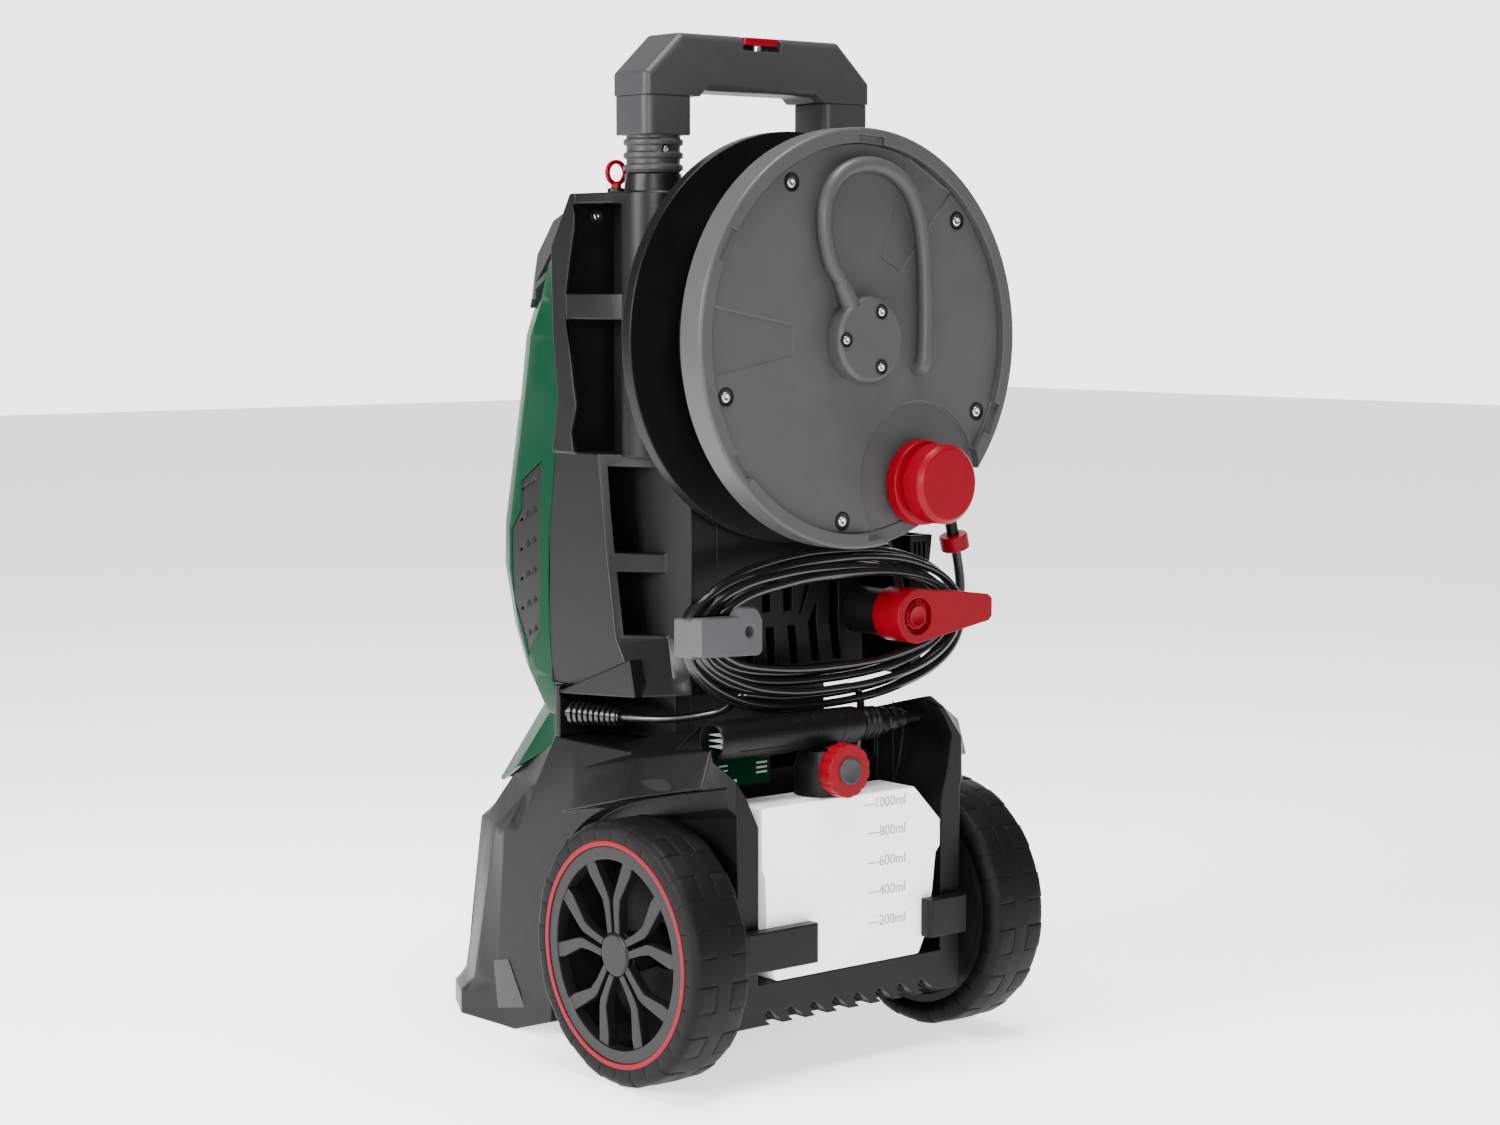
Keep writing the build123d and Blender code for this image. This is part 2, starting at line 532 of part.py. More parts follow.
# ---------------------------------------------------------------- wheels
TYRE_IN = WHEEL_X - WHEEL_W / 2
TYRE_OUT = WHEEL_X + WHEEL_W / 2
BEAD_R = 92.0
FORK = [(12, 1.5), (45, 2.5), (51, 4.5), (81, 21.5), (81, 35), (66, 28), (56, 20), (46, 12), (34, 9.5),
        (14, 8)]
for side, tag in ((1, "left"), (-1, "right")):
    with BuildPart() as tyre:
        turn_x([(side * x, r) for x, r in (
            (TYRE_IN, BEAD_R), (TYRE_IN, 106), (TYRE_IN + 5, 111), (TYRE_IN + 14, WHEEL_R),
            (TYRE_OUT - 14, WHEEL_R), (TYRE_OUT - 5, 111), (TYRE_OUT, 106), (TYRE_OUT, BEAD_R))],
            AXLE_Y, AXLE_Z)
    finish(tyre, f"tyre_{tag}")

    with BuildPart() as rim:
        turn_x([(side * x, r) for x, r in (
            (TYRE_IN + 2, 84), (TYRE_IN + 2, BEAD_R), (TYRE_OUT - 2, BEAD_R), (TYRE_OUT - 2, 87),
            (TYRE_OUT - 6, 84))], AXLE_Y, AXLE_Z)
        turn_x([(side * x, r) for x, r in (
            (TYRE_IN + 4, AXLE_R), (TYRE_IN + 4, 15), (TYRE_OUT - 8, 19), (TYRE_OUT - 8, AXLE_R))],
            AXLE_Y, AXLE_Z)
        turn_x([(side * x, r) for x, r in (
            (TYRE_OUT - 12, 79), (TYRE_OUT - 12, 91), (TYRE_OUT - 1, 91), (TYRE_OUT - 1, 80))],
            AXLE_Y, AXLE_Z)
        # five forked spokes
        x_face = side * (TYRE_OUT - 11)
        with BuildSketch(Plane(origin=(x_face, AXLE_Y, AXLE_Z), x_dir=(0, 1, 0), z_dir=(1, 0, 0))):
            with PolarLocations(0, 5, start_angle=24):
                for flip in (1, -1):
                    Polygon(*[(r, flip * across) for r, across in FORK], align=None)
        extrude(amount=side * 9)
        rod_x(AXLE_Y, AXLE_Z, AXLE_R + 0.05, *sorted((side * 120, side * 210)), Mode.SUBTRACT)
        # seat of the hub cap
        rod_x(AXLE_Y, AXLE_Z, 18.6, *sorted((side * (TYRE_OUT - 4.95), side * 210)), Mode.SUBTRACT)
    finish(rim, f"rim_{tag}")

    with BuildPart() as hub_cap:
        turn_x([(side * x, r) for x, r in (
            (TYRE_OUT - 4.9, 0), (TYRE_OUT - 4.9, 18.5), (TYRE_OUT - 2.5, 18.5), (TYRE_OUT - 1, 16.5),
            (TYRE_OUT - 1, 0))], AXLE_Y, AXLE_Z)
    finish(hub_cap, f"hub_cap_{tag}")

with BuildPart() as axle:
    rod_x(AXLE_Y, AXLE_Z, AXLE_R, -(TYRE_OUT - 9), TYRE_OUT - 9)
finish(axle, "axle")

# ---------------------------------------------------------------- hose reel
with BuildPart() as reel_rear_flange:
    turn_y([(REEL_REAR, 62), (REEL_REAR, 120), (97, 150), (REEL_REAR, 168), (REEL_REAR, REEL_R),
            (104, REEL_R), (104, 170), (101, 150), (104, 124), (104, 62)], 0, REEL_Z)
finish(reel_rear_flange, "reel_rear_flange")

with BuildPart() as reel_drum:
    turn_y([(94, REEL_SHAFT_R), (94, 26), (103, 30), (104, 60), (104.2, DRUM_R), (165.8, DRUM_R),
            (165.8, DRUM_R - 4), (110, DRUM_R - 4), (110, 30), (176, 26), (176, REEL_SHAFT_R)], 0, REEL_Z)
    rod_y(0, REEL_Z, REEL_SHAFT_R + 0.06, 80, 200, Mode.SUBTRACT)
finish(reel_drum, "reel_drum")

CRANK_RECESS_R = 66.0
NOTCH_ANGLES = (-3, 62, 128, 187, 245)

with BuildPart() as reel_front_ring:
    turn_y([(166, 108), (166, 172), (170, REEL_R), (194, REEL_R), (REEL_FRONT, REEL_R - 2),
            (REEL_FRONT, 163), (184, 163), (184, 108)], 0, REEL_Z)
    turn_y([(171, 107), (171, 158), (185, 158), (185, 107)], 0, REEL_Z, Mode.SUBTRACT)
    with BuildSketch(Plane(origin=(0, 190, REEL_Z), x_dir=(0, 0, 1), z_dir=(0, 1, 0))):
        for angle in NOTCH_ANGLES:
            with PolarLocations(163, 1, start_angle=angle):
                Rectangle(12, 28)
    extrude(amount=10, mode=Mode.SUBTRACT)
    rod_y(CRANK_X - 3, CRANK_Z + 3, CRANK_RECESS_R, 187, 200, Mode.SUBTRACT)
finish(reel_front_ring, "reel_front_ring")

with BuildPart() as reel_cover:
    turn_y([(184, 17), (184, 162.6), (COVER_FACE, 162.6), (COVER_FACE, 17)], 0, REEL_Z)
    rod_y(CRANK_X - 3, CRANK_Z + 3, CRANK_RECESS_R, 186.5, 200, Mode.SUBTRACT)
    for angle in (0, 120):
        turned = math.radians(angle)
        corners = [(72, -13), (160, -29), (160, 29), (72, 13)]
        rotated = [(r * math.cos(turned) - t * math.sin(turned),
                    REEL_Z + r * math.sin(turned) + t * math.cos(turned)) for r, t in corners]
        slab_y(rotated, 187.6, 195, Mode.SUBTRACT)
    rod_y(CRANK_X, CRANK_Z, 10, 183, 190, Mode.SUBTRACT)
finish(reel_cover, "reel_cover")

COVER_SCREWS = [(74.5, 751), (-112, 722), (144, 577), (-137, 558), (18, 470)]
HUB_SCREWS = [(-10, 645), (29, 622), (-10, 599)]
with BuildPart() as reel_screws:
    for x, z in COVER_SCREWS:
        rod_y(x, z, 5, COVER_FACE, COVER_FACE + 2.2)
    for x, z in HUB_SCREWS:
        rod_y(x, z, 4.2, 206, 207.2)
finish(reel_screws, "reel_screws")

with BuildPart() as hose_swivel:
    turn_y([(COVER_FACE, 0), (COVER_FACE, 36), (203, 36), (206, 33), (206, 0)], 0, REEL_Z)
    with BuildSketch(Plane(origin=(16, 197.5, REEL_Z + 27), z_dir=(0.47, 0, 0.88))):
        Circle(8.3)
    extrude(amount=26, taper=4)
finish(hose_swivel, "hose_swivel")

PIPE_D = 13.0
with BuildPart() as swivel_pipe:
    start = Vector(16, 197.5, REEL_Z + 27) + Vector(0.47, 0, 0.88) * 26.8
    with BuildLine() as pipe_route:
        FilletPolyline(start, (50, 197.5, 706), (49, 197.5, 760), (-8, 197.5, 776),
                       (-52, 197.5, 752), (-70, 197.5, 650), (-66, 197.5, 597), radius=[20, 26, 40, 40, 60])
    with BuildSketch(Plane(origin=start, z_dir=Vector(50, 197.5, 706) - start)):
        Circle(PIPE_D / 2)
    sweep(path=pipe_route.wires()[0])
    with Locations((-66, 197.5, 597)):
        Sphere(PIPE_D / 2)
    rod_y(-66, 597, PIPE_D / 2, COVER_FACE, 197.5)
finish(swivel_pipe, "swivel_pipe")

with BuildPart() as crank_pin:
    turn_y([(184, 0), (184, 9.9), (189.5, 9.9), (189.5, 8), (218, 8), (218, 0)], CRANK_X, CRANK_Z)
finish(crank_pin, "crank_pin")

with BuildPart() as crank_knob:
    turn_y([(190, 0), (190, 35), (192, 37), (202, 36), (204, 28), (208, 28), (210, 34), (227, 34),
            (CRANK_TOP, 30), (CRANK_TOP, 0)], CRANK_X, CRANK_Z)
    rod_y(CRANK_X, CRANK_Z, 8.06, 180, 219, Mode.SUBTRACT)
    with BuildSketch(Plane.XZ.offset(-(CRANK_TOP - 3))):
        with Locations((CRANK_X, CRANK_Z)):
            with PolarLocations(0, 3):
                SlotArc(CenterArc((0, 0), 11, -32, 64), 5)
    extrude(amount=-10, mode=Mode.SUBTRACT)
finish(crank_knob, "crank_knob")

with BuildPart() as hose_winding:
    turn_y([(WINDING[0], DRUM_R + 0.1), (WINDING[0], HOSE_OUTER_R), (WINDING[1], HOSE_OUTER_R),
            (WINDING[1], DRUM_R + 0.1)], 0, REEL_Z)
finish(hose_winding, "hose_winding")

# Free end of the hose: off the bottom of the winding, behind the mains cable and up to its coupling.
TAIL = [(0, 112, 480.5), (-34, 112, 479), (-66, 112, 471), (-94, 112, 452), (-112, 112, 424),
        (-119, 112, 394), (-130, 112, 364), (-155, 112, 348), (-182, 112, 358), (-194, 112, 386),
        (-192, 112, 410), (-186, 113, 430)]
finish(hose_solid(TAIL, HOSE_D, "hose_tail"), "hose_tail")

COUPLING = Plane(origin=TAIL[-1], z_dir=Vector(*TAIL[-1]) - Vector(*TAIL[-2]))
with BuildPart() as hose_coupling:
    with BuildSketch(COUPLING):
        Circle(13)
    extrude(amount=14)
    chamfer(hose_coupling.edges(), 1)
finish(hose_coupling, "hose_coupling")

with BuildPart() as hose_nipple:
    with BuildSketch(COUPLING.offset(14)):
        Circle(5.5)
    extrude(amount=16)
    with BuildSketch(COUPLING.offset(30)):
        Circle(4)
    extrude(amount=5)
finish(hose_nipple, "hose_nipple")

# ---------------------------------------------------------------- telescopic handle
OUTER = [(126, SLEEVE_TOP), (126, 846), (89, HEIGHT)]
INNER = [(74, SLEEVE_TOP), (74, 818), (60, 832)]
with BuildPart() as handle_grip:
    outline = OUTER + [(-x, z) for x, z in reversed(OUTER)] + [(-x, z) for x, z in INNER] \
        + [(x, z) for x, z in reversed(INNER)]
    slab_y(outline, HANDLE_Y - GRIP_HALF_DEPTH, HANDLE_Y + GRIP_HALF_DEPTH)
    fillet(handle_grip.edges().filter_by(Axis.Y), 6)
    long_edges = handle_grip.faces().filter_by(Axis.Y).edges()
    fillet(long_edges, 7)
    split(bisect_by=Plane.XY.offset(GRIP_SEAM - 8), keep=Keep.TOP)
    slab_z([(-21, 45), (21, 45), (21, 63), (-21, 63)], 868, 890, Mode.SUBTRACT)
finish(handle_grip, "handle_grip")

with BuildPart() as handle_legs:
    for side in (1, -1):
        with BuildSketch(Plane.XY.offset(SLEEVE_TOP)):
            with Locations((side * HANDLE_X, HANDLE_Y)):
                RectangleRounded(51, 49, 9)
        extrude(amount=GRIP_SEAM - 8.2 - SLEEVE_TOP)
    for side in (1, -1):
        profile = [(TUBE_R, NECK_Z + GAP), (23, NECK_Z + GAP)]
        for z in (763.6, 774, 785):
            profile += [(23, z), (25.5, z + 1), (25.5, z + 5), (23, z + 6)]
        profile += [(23, SLEEVE_TOP), (TUBE_R, SLEEVE_TOP)]
        turn_z(profile, side * HANDLE_X, HANDLE_Y)
        rod_z(side * HANDLE_X, HANDLE_Y, TUBE_R, SLEEVE_TOP - 1, 824, Mode.SUBTRACT)
finish(handle_legs, "handle_legs")

with BuildPart() as handle_tubes:
    for side in (1, -1):
        turn_z([(TUBE_R - 1.5, 546), (TUBE_R, 546), (TUBE_R, 823), (TUBE_R - 1.5, 823)],
               side * HANDLE_X, HANDLE_Y)
finish(handle_tubes, "handle_tubes")

with BuildPart() as release_button:
    with BuildSketch(Plane.XY.offset(872.6)):
        with Locations((0, 54)):
            RectangleRounded(41, 17, 5)
    extrude(amount=6.8)
    fillet(release_button.faces().sort_by(Axis.Z)[-1].edges(), 1.5)
finish(release_button, "release_button")

with BuildPart() as button_spring:
    turn_z([(3.2, 868), (5, 868), (5, 872.5), (3.2, 872.5)], 0, 54)
finish(button_spring, "button_spring")

# ---------------------------------------------------------------- nozzle cleaning needle
with BuildPart() as cleaning_needle:
    rod_z(117, 8, 2, 739, 753)
    rod_z(117, 8, 4.5, CASE_TOP + 0.5, 754)
    with BuildSketch(Plane(origin=(117, 8, 763), x_dir=(1, 0, 0), z_dir=(0, -1, 0))):
        Circle(11)
        Circle(7.5, mode=Mode.SUBTRACT)
    extrude(amount=1.75, both=True)
finish(cleaning_needle, "cleaning_needle")

# ---------------------------------------------------------------- foam bottle
BOTTLE_OUTLINE = [(-70, BOTTLE_TOP), (BOTTLE_HALF, BOTTLE_TOP), (BOTTLE_HALF, 182), (98, 176), (96, 108),
                  (86, BOTTLE_FLOOR), (-76, BOTTLE_FLOOR), (-84, 103), (-92, 139), (-96, 174),
                  (-BOTTLE_HALF, 180), (-BOTTLE_HALF, 203)]
with BuildPart() as foam_bottle:
    slab_y(BOTTLE_OUTLINE, BOTTLE_FRONT, BOTTLE_REAR)
    fillet(foam_bottle.edges().filter_by(Axis.Y), 3)
    rod_z(NECK_X, NECK_Y, 15, BOTTLE_TOP - 1, 250)
    slab_y([(-68, BOTTLE_TOP - 2), (99, BOTTLE_TOP - 2), (99, 183), (96, 177), (94, 109), (85, 89),
            (-75, 89), (-82, 104), (-90, 140), (-94, 175), (-99, 181), (-99, 202)],
           BOTTLE_FRONT + 2, BOTTLE_REAR - 2, Mode.SUBTRACT)
    rod_z(NECK_X, NECK_Y, 12, BOTTLE_TOP - 4, 251, Mode.SUBTRACT)
finish(foam_bottle, "foam_bottle")

with BuildPart() as bottle_collar:
    turn_z([(15.1, BOTTLE_TOP + 0.3), (23, BOTTLE_TOP + 0.3), (23, 258), (20, 274), (5, 274), (5, 252),
            (15.1, 252)], NECK_X, NECK_Y)
    rod_y(NECK_X, 259, 7, 165, 183)
    rod_y(NECK_X, 259, 4.05, 166, 190, Mode.SUBTRACT)
    rod_x(NOZZLE_Y, NOZZLE_Z, NOZZLE_R + 0.05, -20, 50, Mode.SUBTRACT)
finish(bottle_collar, "bottle_collar")

with BuildPart() as pickup_tube:
    turn_z([(2.5, 92), (4, 92), (4, 262), (2.5, 262)], NECK_X, NECK_Y)
finish(pickup_tube, "pickup_tube")

with BuildPart() as foam_nozzle:
    turn_x([(135, 13), (135, 14.5), (130, NOZZLE_R), (-24, NOZZLE_R), (-26, 12), (-34, 12), (-34, 14),
            (-38, 14), (-38, 12), (-44, 12), (-44, 14), (-48, 14), (-48, 11), (-56, 11), (-56, 8),
            (-80, 7), (-80, 5), (-99, 4), (-99, 0), (96, 0), (96, 13)], NOZZLE_Y, NOZZLE_Z)
    slab_y([(108, 284), (140, 284), (140, 298), (108, 298)], NOZZLE_Y, NOZZLE_Y + 25, Mode.SUBTRACT)
    rod_z(NECK_X, NECK_Y, 4.1, 262, NOZZLE_Z - 8, Mode.SUBTRACT)
finish(foam_nozzle, "foam_nozzle")

with BuildPart() as dosing_knob:
    with BuildSketch(Plane.XZ.offset(-183.5)):
        with Locations((NECK_X, 259)):
            Circle(23)
            with PolarLocations(24.6, 14):
                Circle(2.6, mode=Mode.SUBTRACT)
    extrude(amount=-14)
    rod_y(NECK_X, 259, 4, 167, 184)
    rod_y(NECK_X, 259, 10.8, 190, 199)
finish(dosing_knob, "dosing_knob")

with BuildPart() as bottle_clamps:
    slab_z([(127.2, 160), (133, 160), (133, 190), (131, 195.5), (126, 198), (52, 198), (49, 195.5),
            (50, BOTTLE_REAR + 0.2), (104, BOTTLE_REAR + 0.2), (106, 183.2), (127.2, 183.2)], 100, 134)
    slab_z([(-106, 183.2), (-126.5, 183.2), (-126.5, 192), (-124, 196), (-120, 198), (-80, 198),
            (-77, 195.5), (-78, BOTTLE_REAR + 0.2), (-104, BOTTLE_REAR + 0.2)], 102, 136)
finish(bottle_clamps, "bottle_clamps")

# ---------------------------------------------------------------- mains cable
with BuildPart() as strain_relief:
    with BuildSketch(Plane(origin=GLAND_START + GLAND_DIR, z_dir=GLAND_DIR)):
        Circle(6.9)
    extrude(amount=GLAND_LENGTH - 1)
    for k in range(9):
        with BuildSketch(Plane(origin=GLAND_START + GLAND_DIR * (11 + 5.7 * k), z_dir=GLAND_DIR)):
            Circle(11.2 - 0.35 * k)
        extrude(amount=3.2)
finish(strain_relief, "strain_relief")

LEAD = [GLAND_END + GLAND_DIR * 0.3, (107.5, 34, 293.5), (95, 57, 295), (80, 78, 299), (69, 98, 305),
        (63, COIL_Y[0] - 2, 312)]
lead = hose_solid(LEAD, CABLE_D, "mains_lead")

with BuildPart() as mains_coil:
    with BuildSketch(Plane.XZ.offset(-COIL_Y[0])):
        with Locations((COIL_X, COIL_Z)):
            SlotOverall(COIL_LENGTH, COIL_HEIGHT)
            SlotOverall(COIL_LENGTH - 2 * COIL_BAND, COIL_HEIGHT - 2 * COIL_BAND, mode=Mode.SUBTRACT)
    extrude(amount=COIL_Y[0] - COIL_Y[1])
finish(mains_coil, "mains_coil")

PLUG_X = -60.0
PLUG_Y = 119.5
PLUG_LEAD = [(-57, 130, COIL_Z - COIL_HEIGHT / 2 - 0.8), (-59, 126, 285), (-60.5, 121.5, 265),
             (PLUG_X, PLUG_Y, 243.5)]
plug_lead = hose_solid(PLUG_LEAD, CABLE_D, "plug_lead")
with BuildPart() as mains_leads:
    add(lead.part)
    add(plug_lead.part)
finish(mains_leads, "mains_leads")

with BuildPart() as mains_plug:
    turn_z([(0, 243), (5.5, 243), (7, 228), (17, 218), (18, 190), (18, 182), (0, 182)], PLUG_X, PLUG_Y)
    for side in (1, -1):
        rod_z(PLUG_X + side * 9.5, PLUG_Y, 2.4, 163, 183)
finish(mains_plug, "mains_plug")

# ---------------------------------------------------------------- motor and pump
with BuildPart() as motor_housing:
    turn_z([(50, 262), (55, 262), (55, 398), (12, 398), (12, 393), (50, 393)], 0, MOTOR_Y)
    turn_z([(12, 262), (50, 262), (50, 267), (12, 267)], 0, MOTOR_Y)
finish(motor_housing, "motor_housing")

with BuildPart() as motor_rotor:
    rod_z(0, MOTOR_Y, 6, 242, 424)
    rod_z(0, MOTOR_Y, 30, 285, 375)
    # cooling fan
    rod_z(0, MOTOR_Y, 48, 404, 406)
    rod_z(0, MOTOR_Y, 16, 404, 419)
    with BuildSketch(Plane.XY.offset(405)):
        with Locations((0, MOTOR_Y)):
            with PolarLocations(31, 9):
                Rectangle(33, 2, rotation=20)
    extrude(amount=12)
finish(motor_rotor, "motor_rotor")

with BuildPart() as wobble_plate:
    with BuildSketch(Plane.XY.offset(236)):
        with Locations((0, MOTOR_Y)):
            Circle(34)
    extrude(amount=18)
    slab_x([(MOTOR_Y - 40, 230), (MOTOR_Y - 40, 236), (MOTOR_Y + 40, 244), (MOTOR_Y + 40, 230)],
           -40, 40, Mode.SUBTRACT)
    rod_z(0, MOTOR_Y, 6, 230, 260, Mode.SUBTRACT)
finish(wobble_plate, "wobble_plate")

with BuildPart() as bearings:
    for z in (268, 386):
        turn_z([(6.05, z), (11.9, z), (11.9, z + 7), (6.05, z + 7)], 0, MOTOR_Y)
finish(bearings, "bearings")

with BuildPart() as pump_body:
    turn_z([(36, 206), (50, 206), (50, 261.5), (36, 261.5)], 0, MOTOR_Y)
    turn_z([(0, 170), (50, 170), (50, 206.1), (0, 206.1)], 0, MOTOR_Y)
    with PolarLocations(0, 1):
        for angle in (90, 210, 330):
            rod_z(22 * math.cos(math.radians(angle)), MOTOR_Y + 22 * math.sin(math.radians(angle)),
                  6.05, 176, 210, Mode.SUBTRACT)
finish(pump_body, "pump_body")

with BuildPart() as pump_pistons:
    for angle in (90, 210, 330):
        x = 22 * math.cos(math.radians(angle))
        y = MOTOR_Y + 22 * math.sin(math.radians(angle))
        rod_z(x, y, 6, 184, 235)
finish(pump_pistons, "pump_pistons")

with BuildPart() as pump_head:
    with BuildSketch(Plane.XY.offset(112)):
        with Locations((0, MOTOR_Y)):
            RectangleRounded(150, 84, 8)
    extrude(amount=57.8)
    rod_y(60, 125, 15.1, -130, -105, Mode.SUBTRACT)
finish(pump_head, "pump_head")

with BuildPart() as switch_box:
    with BuildSketch(Plane.XY.offset(525)):
        with Locations((0, -128)):
            RectangleRounded(62, 50, 4)
    extrude(amount=70)
    rod_y(0, 560, 3.05, -155, -140, Mode.SUBTRACT)
finish(switch_box, "switch_box")
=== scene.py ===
import math
import random

import bmesh
import bpy
from mathutils import Matrix, Vector


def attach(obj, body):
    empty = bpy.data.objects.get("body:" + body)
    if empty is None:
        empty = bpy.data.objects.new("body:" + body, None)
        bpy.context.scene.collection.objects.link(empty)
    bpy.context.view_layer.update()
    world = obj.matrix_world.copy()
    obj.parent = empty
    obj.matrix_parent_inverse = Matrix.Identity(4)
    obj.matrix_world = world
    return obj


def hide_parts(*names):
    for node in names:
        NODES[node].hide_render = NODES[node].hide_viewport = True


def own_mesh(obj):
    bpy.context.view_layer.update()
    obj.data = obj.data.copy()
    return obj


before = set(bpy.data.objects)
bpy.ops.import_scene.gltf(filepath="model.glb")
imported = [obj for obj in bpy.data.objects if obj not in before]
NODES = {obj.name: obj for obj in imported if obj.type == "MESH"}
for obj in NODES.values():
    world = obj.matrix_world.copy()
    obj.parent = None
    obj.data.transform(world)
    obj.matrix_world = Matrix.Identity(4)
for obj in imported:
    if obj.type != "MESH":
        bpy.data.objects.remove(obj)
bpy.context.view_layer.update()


# ---------------------------------------------------------------- camera, floor and light
VIEW_TURN = 0.693          # camera's turn away from straight behind, radians
VIEW_DROP = 0.094          # how far it looks down
CAMERA_AT = Vector((1.6544, 2.0386, 0.6681))
CAMERA_LENS = 70.85        # mm, on a sensor 36 mm wide
MIDDLE = (0, 0.1, 0.45)    # where the lights point
WORLD_FRONT = 0.17         # strength of the studio behind the camera
WORLD_BACK = 3.4           # and of the lit backdrop
BACKDROP = (-0.636, -0.766, -0.05)
# name, place, target, size and watts of each softbox
SOFTBOXES = [("key", (3.0, -0.3, 1.5), (0, 0, 0.45), 1.3, 250),
             ("top", (0.1, 0.5, 3.0), (0, 0.1, 0.5), 1.4, 190),
             ("fill", (2.1, 2.8, 1.15), MIDDLE, 0.8, 115)]


def add_camera():
    """The camera stands behind and to the left of the machine, a little above its middle."""
    data = bpy.data.cameras.new("camera")
    data.lens = CAMERA_LENS
    data.sensor_width = 36
    camera = bpy.data.objects.new("camera", data)
    bpy.context.scene.collection.objects.link(camera)
    looking = Vector((-math.sin(VIEW_TURN) * math.cos(VIEW_DROP),
                      -math.cos(VIEW_TURN) * math.cos(VIEW_DROP),
                      -math.sin(VIEW_DROP)))
    facing = looking.to_track_quat("-Z", "Y").to_matrix().to_4x4()
    camera.matrix_world = Matrix.Translation(CAMERA_AT) @ facing
    bpy.context.scene.camera = camera


def add_softbox(name, place, target, size, watts):
    """A large square light aimed at a point."""
    data = bpy.data.lights.new(name, "AREA")
    data.shape = "SQUARE"
    data.size = size
    data.energy = watts
    light = bpy.data.objects.new(name, data)
    bpy.context.scene.collection.objects.link(light)
    place = Vector(place)
    aim = (Vector(target) - place).to_track_quat("-Z", "Y")
    light.matrix_world = Matrix.Translation(place) @ aim.to_matrix().to_4x4()


def add_studio():
    """A pale floor under soft white light."""
    mesh = bpy.data.meshes.new("floor")
    reach = 12
    mesh.from_pydata([(-reach, -reach, 0), (reach, -reach, 0), (reach, reach, 0), (-reach, reach, 0)],
                     [], [(0, 1, 2, 3)])
    floor = bpy.data.objects.new("floor", mesh)
    bpy.context.scene.collection.objects.link(floor)
    paint = bpy.data.materials.new("floor_paint")
    paint.use_nodes = True
    shader = paint.node_tree.nodes["Principled BSDF"]
    shader.inputs["Base Color"].default_value = (0.93, 0.93, 0.93, 1)
    shader.inputs["Roughness"].default_value = 0.75
    shader.inputs["Emission Color"].default_value = (1, 1, 1, 1)
    shader.inputs["Emission Strength"].default_value = 1.4
    mesh.materials.append(paint)
    world = bpy.data.worlds.new("studio")
    world.use_nodes = True
    nodes = world.node_tree.nodes
    links = world.node_tree.links
    # the far side of the studio is brighter, like a lit backdrop
    place = nodes.new("ShaderNodeTexCoord")
    toward = nodes.new("ShaderNodeVectorMath")
    toward.operation = "DOT_PRODUCT"
    toward.inputs[1].default_value = BACKDROP
    links.new(place.outputs["Generated"], toward.inputs[0])
    fall = nodes.new("ShaderNodeMapRange")
    fall.inputs["From Min"].default_value = 0.70
    fall.inputs["From Max"].default_value = 0.93
    fall.inputs["To Min"].default_value = WORLD_FRONT
    fall.inputs["To Max"].default_value = WORLD_BACK
    links.new(toward.outputs["Value"], fall.inputs["Value"])
    links.new(fall.outputs["Result"], nodes["Background"].inputs["Strength"])
    nodes["Background"].inputs["Color"].default_value = (1, 1, 1, 1)
    bpy.context.scene.world = world
    for softbox in SOFTBOXES:
        add_softbox(*softbox)


# ---------------------------------------------------------------- materials
def material(name, colour, roughness=0.5, metallic=0.0, grain=0.0, grain_size=0.0012, uneven=0.10,
             rough_spread=0.06, cloud=0.03, shine=0.35):
    """A moulded or metal surface: fine grain as bump, and slow changes of tone and gloss."""
    made = bpy.data.materials.new(name)
    made.use_nodes = True
    nodes = made.node_tree.nodes
    links = made.node_tree.links
    shader = nodes["Principled BSDF"]
    shader.inputs["Metallic"].default_value = metallic
    shader.inputs["Specular IOR Level"].default_value = shine
    place = nodes.new("ShaderNodeTexCoord")
    clouds = nodes.new("ShaderNodeTexNoise")
    clouds.inputs["Scale"].default_value = 1 / cloud
    clouds.inputs["Detail"].default_value = 5
    links.new(place.outputs["Object"], clouds.inputs["Vector"])
    tone = nodes.new("ShaderNodeMapRange")
    tone.inputs["To Min"].default_value = 1 - uneven
    tone.inputs["To Max"].default_value = 1 + uneven
    links.new(clouds.outputs["Fac"], tone.inputs["Value"])
    paint = nodes.new("ShaderNodeMix")
    paint.data_type = "RGBA"
    paint.blend_type = "MULTIPLY"
    paint.inputs["Factor"].default_value = 1
    paint.inputs["A"].default_value = (*colour, 1)
    links.new(tone.outputs["Result"], paint.inputs["B"])
    links.new(paint.outputs["Result"], shader.inputs["Base Color"])
    gloss = nodes.new("ShaderNodeMapRange")
    gloss.inputs["To Min"].default_value = max(0.02, roughness - rough_spread)
    gloss.inputs["To Max"].default_value = min(1.0, roughness + rough_spread)
    links.new(clouds.outputs["Fac"], gloss.inputs["Value"])
    links.new(gloss.outputs["Result"], shader.inputs["Roughness"])
    if grain:
        fine = nodes.new("ShaderNodeTexNoise")
        fine.inputs["Scale"].default_value = 1 / grain_size
        fine.inputs["Detail"].default_value = 3
        links.new(place.outputs["Object"], fine.inputs["Vector"])
        bump = nodes.new("ShaderNodeBump")
        bump.inputs["Strength"].default_value = grain
        bump.inputs["Distance"].default_value = 0.0004
        links.new(fine.outputs["Fac"], bump.inputs["Height"])
        links.new(bump.outputs["Normal"], shader.inputs["Normal"])
    return made


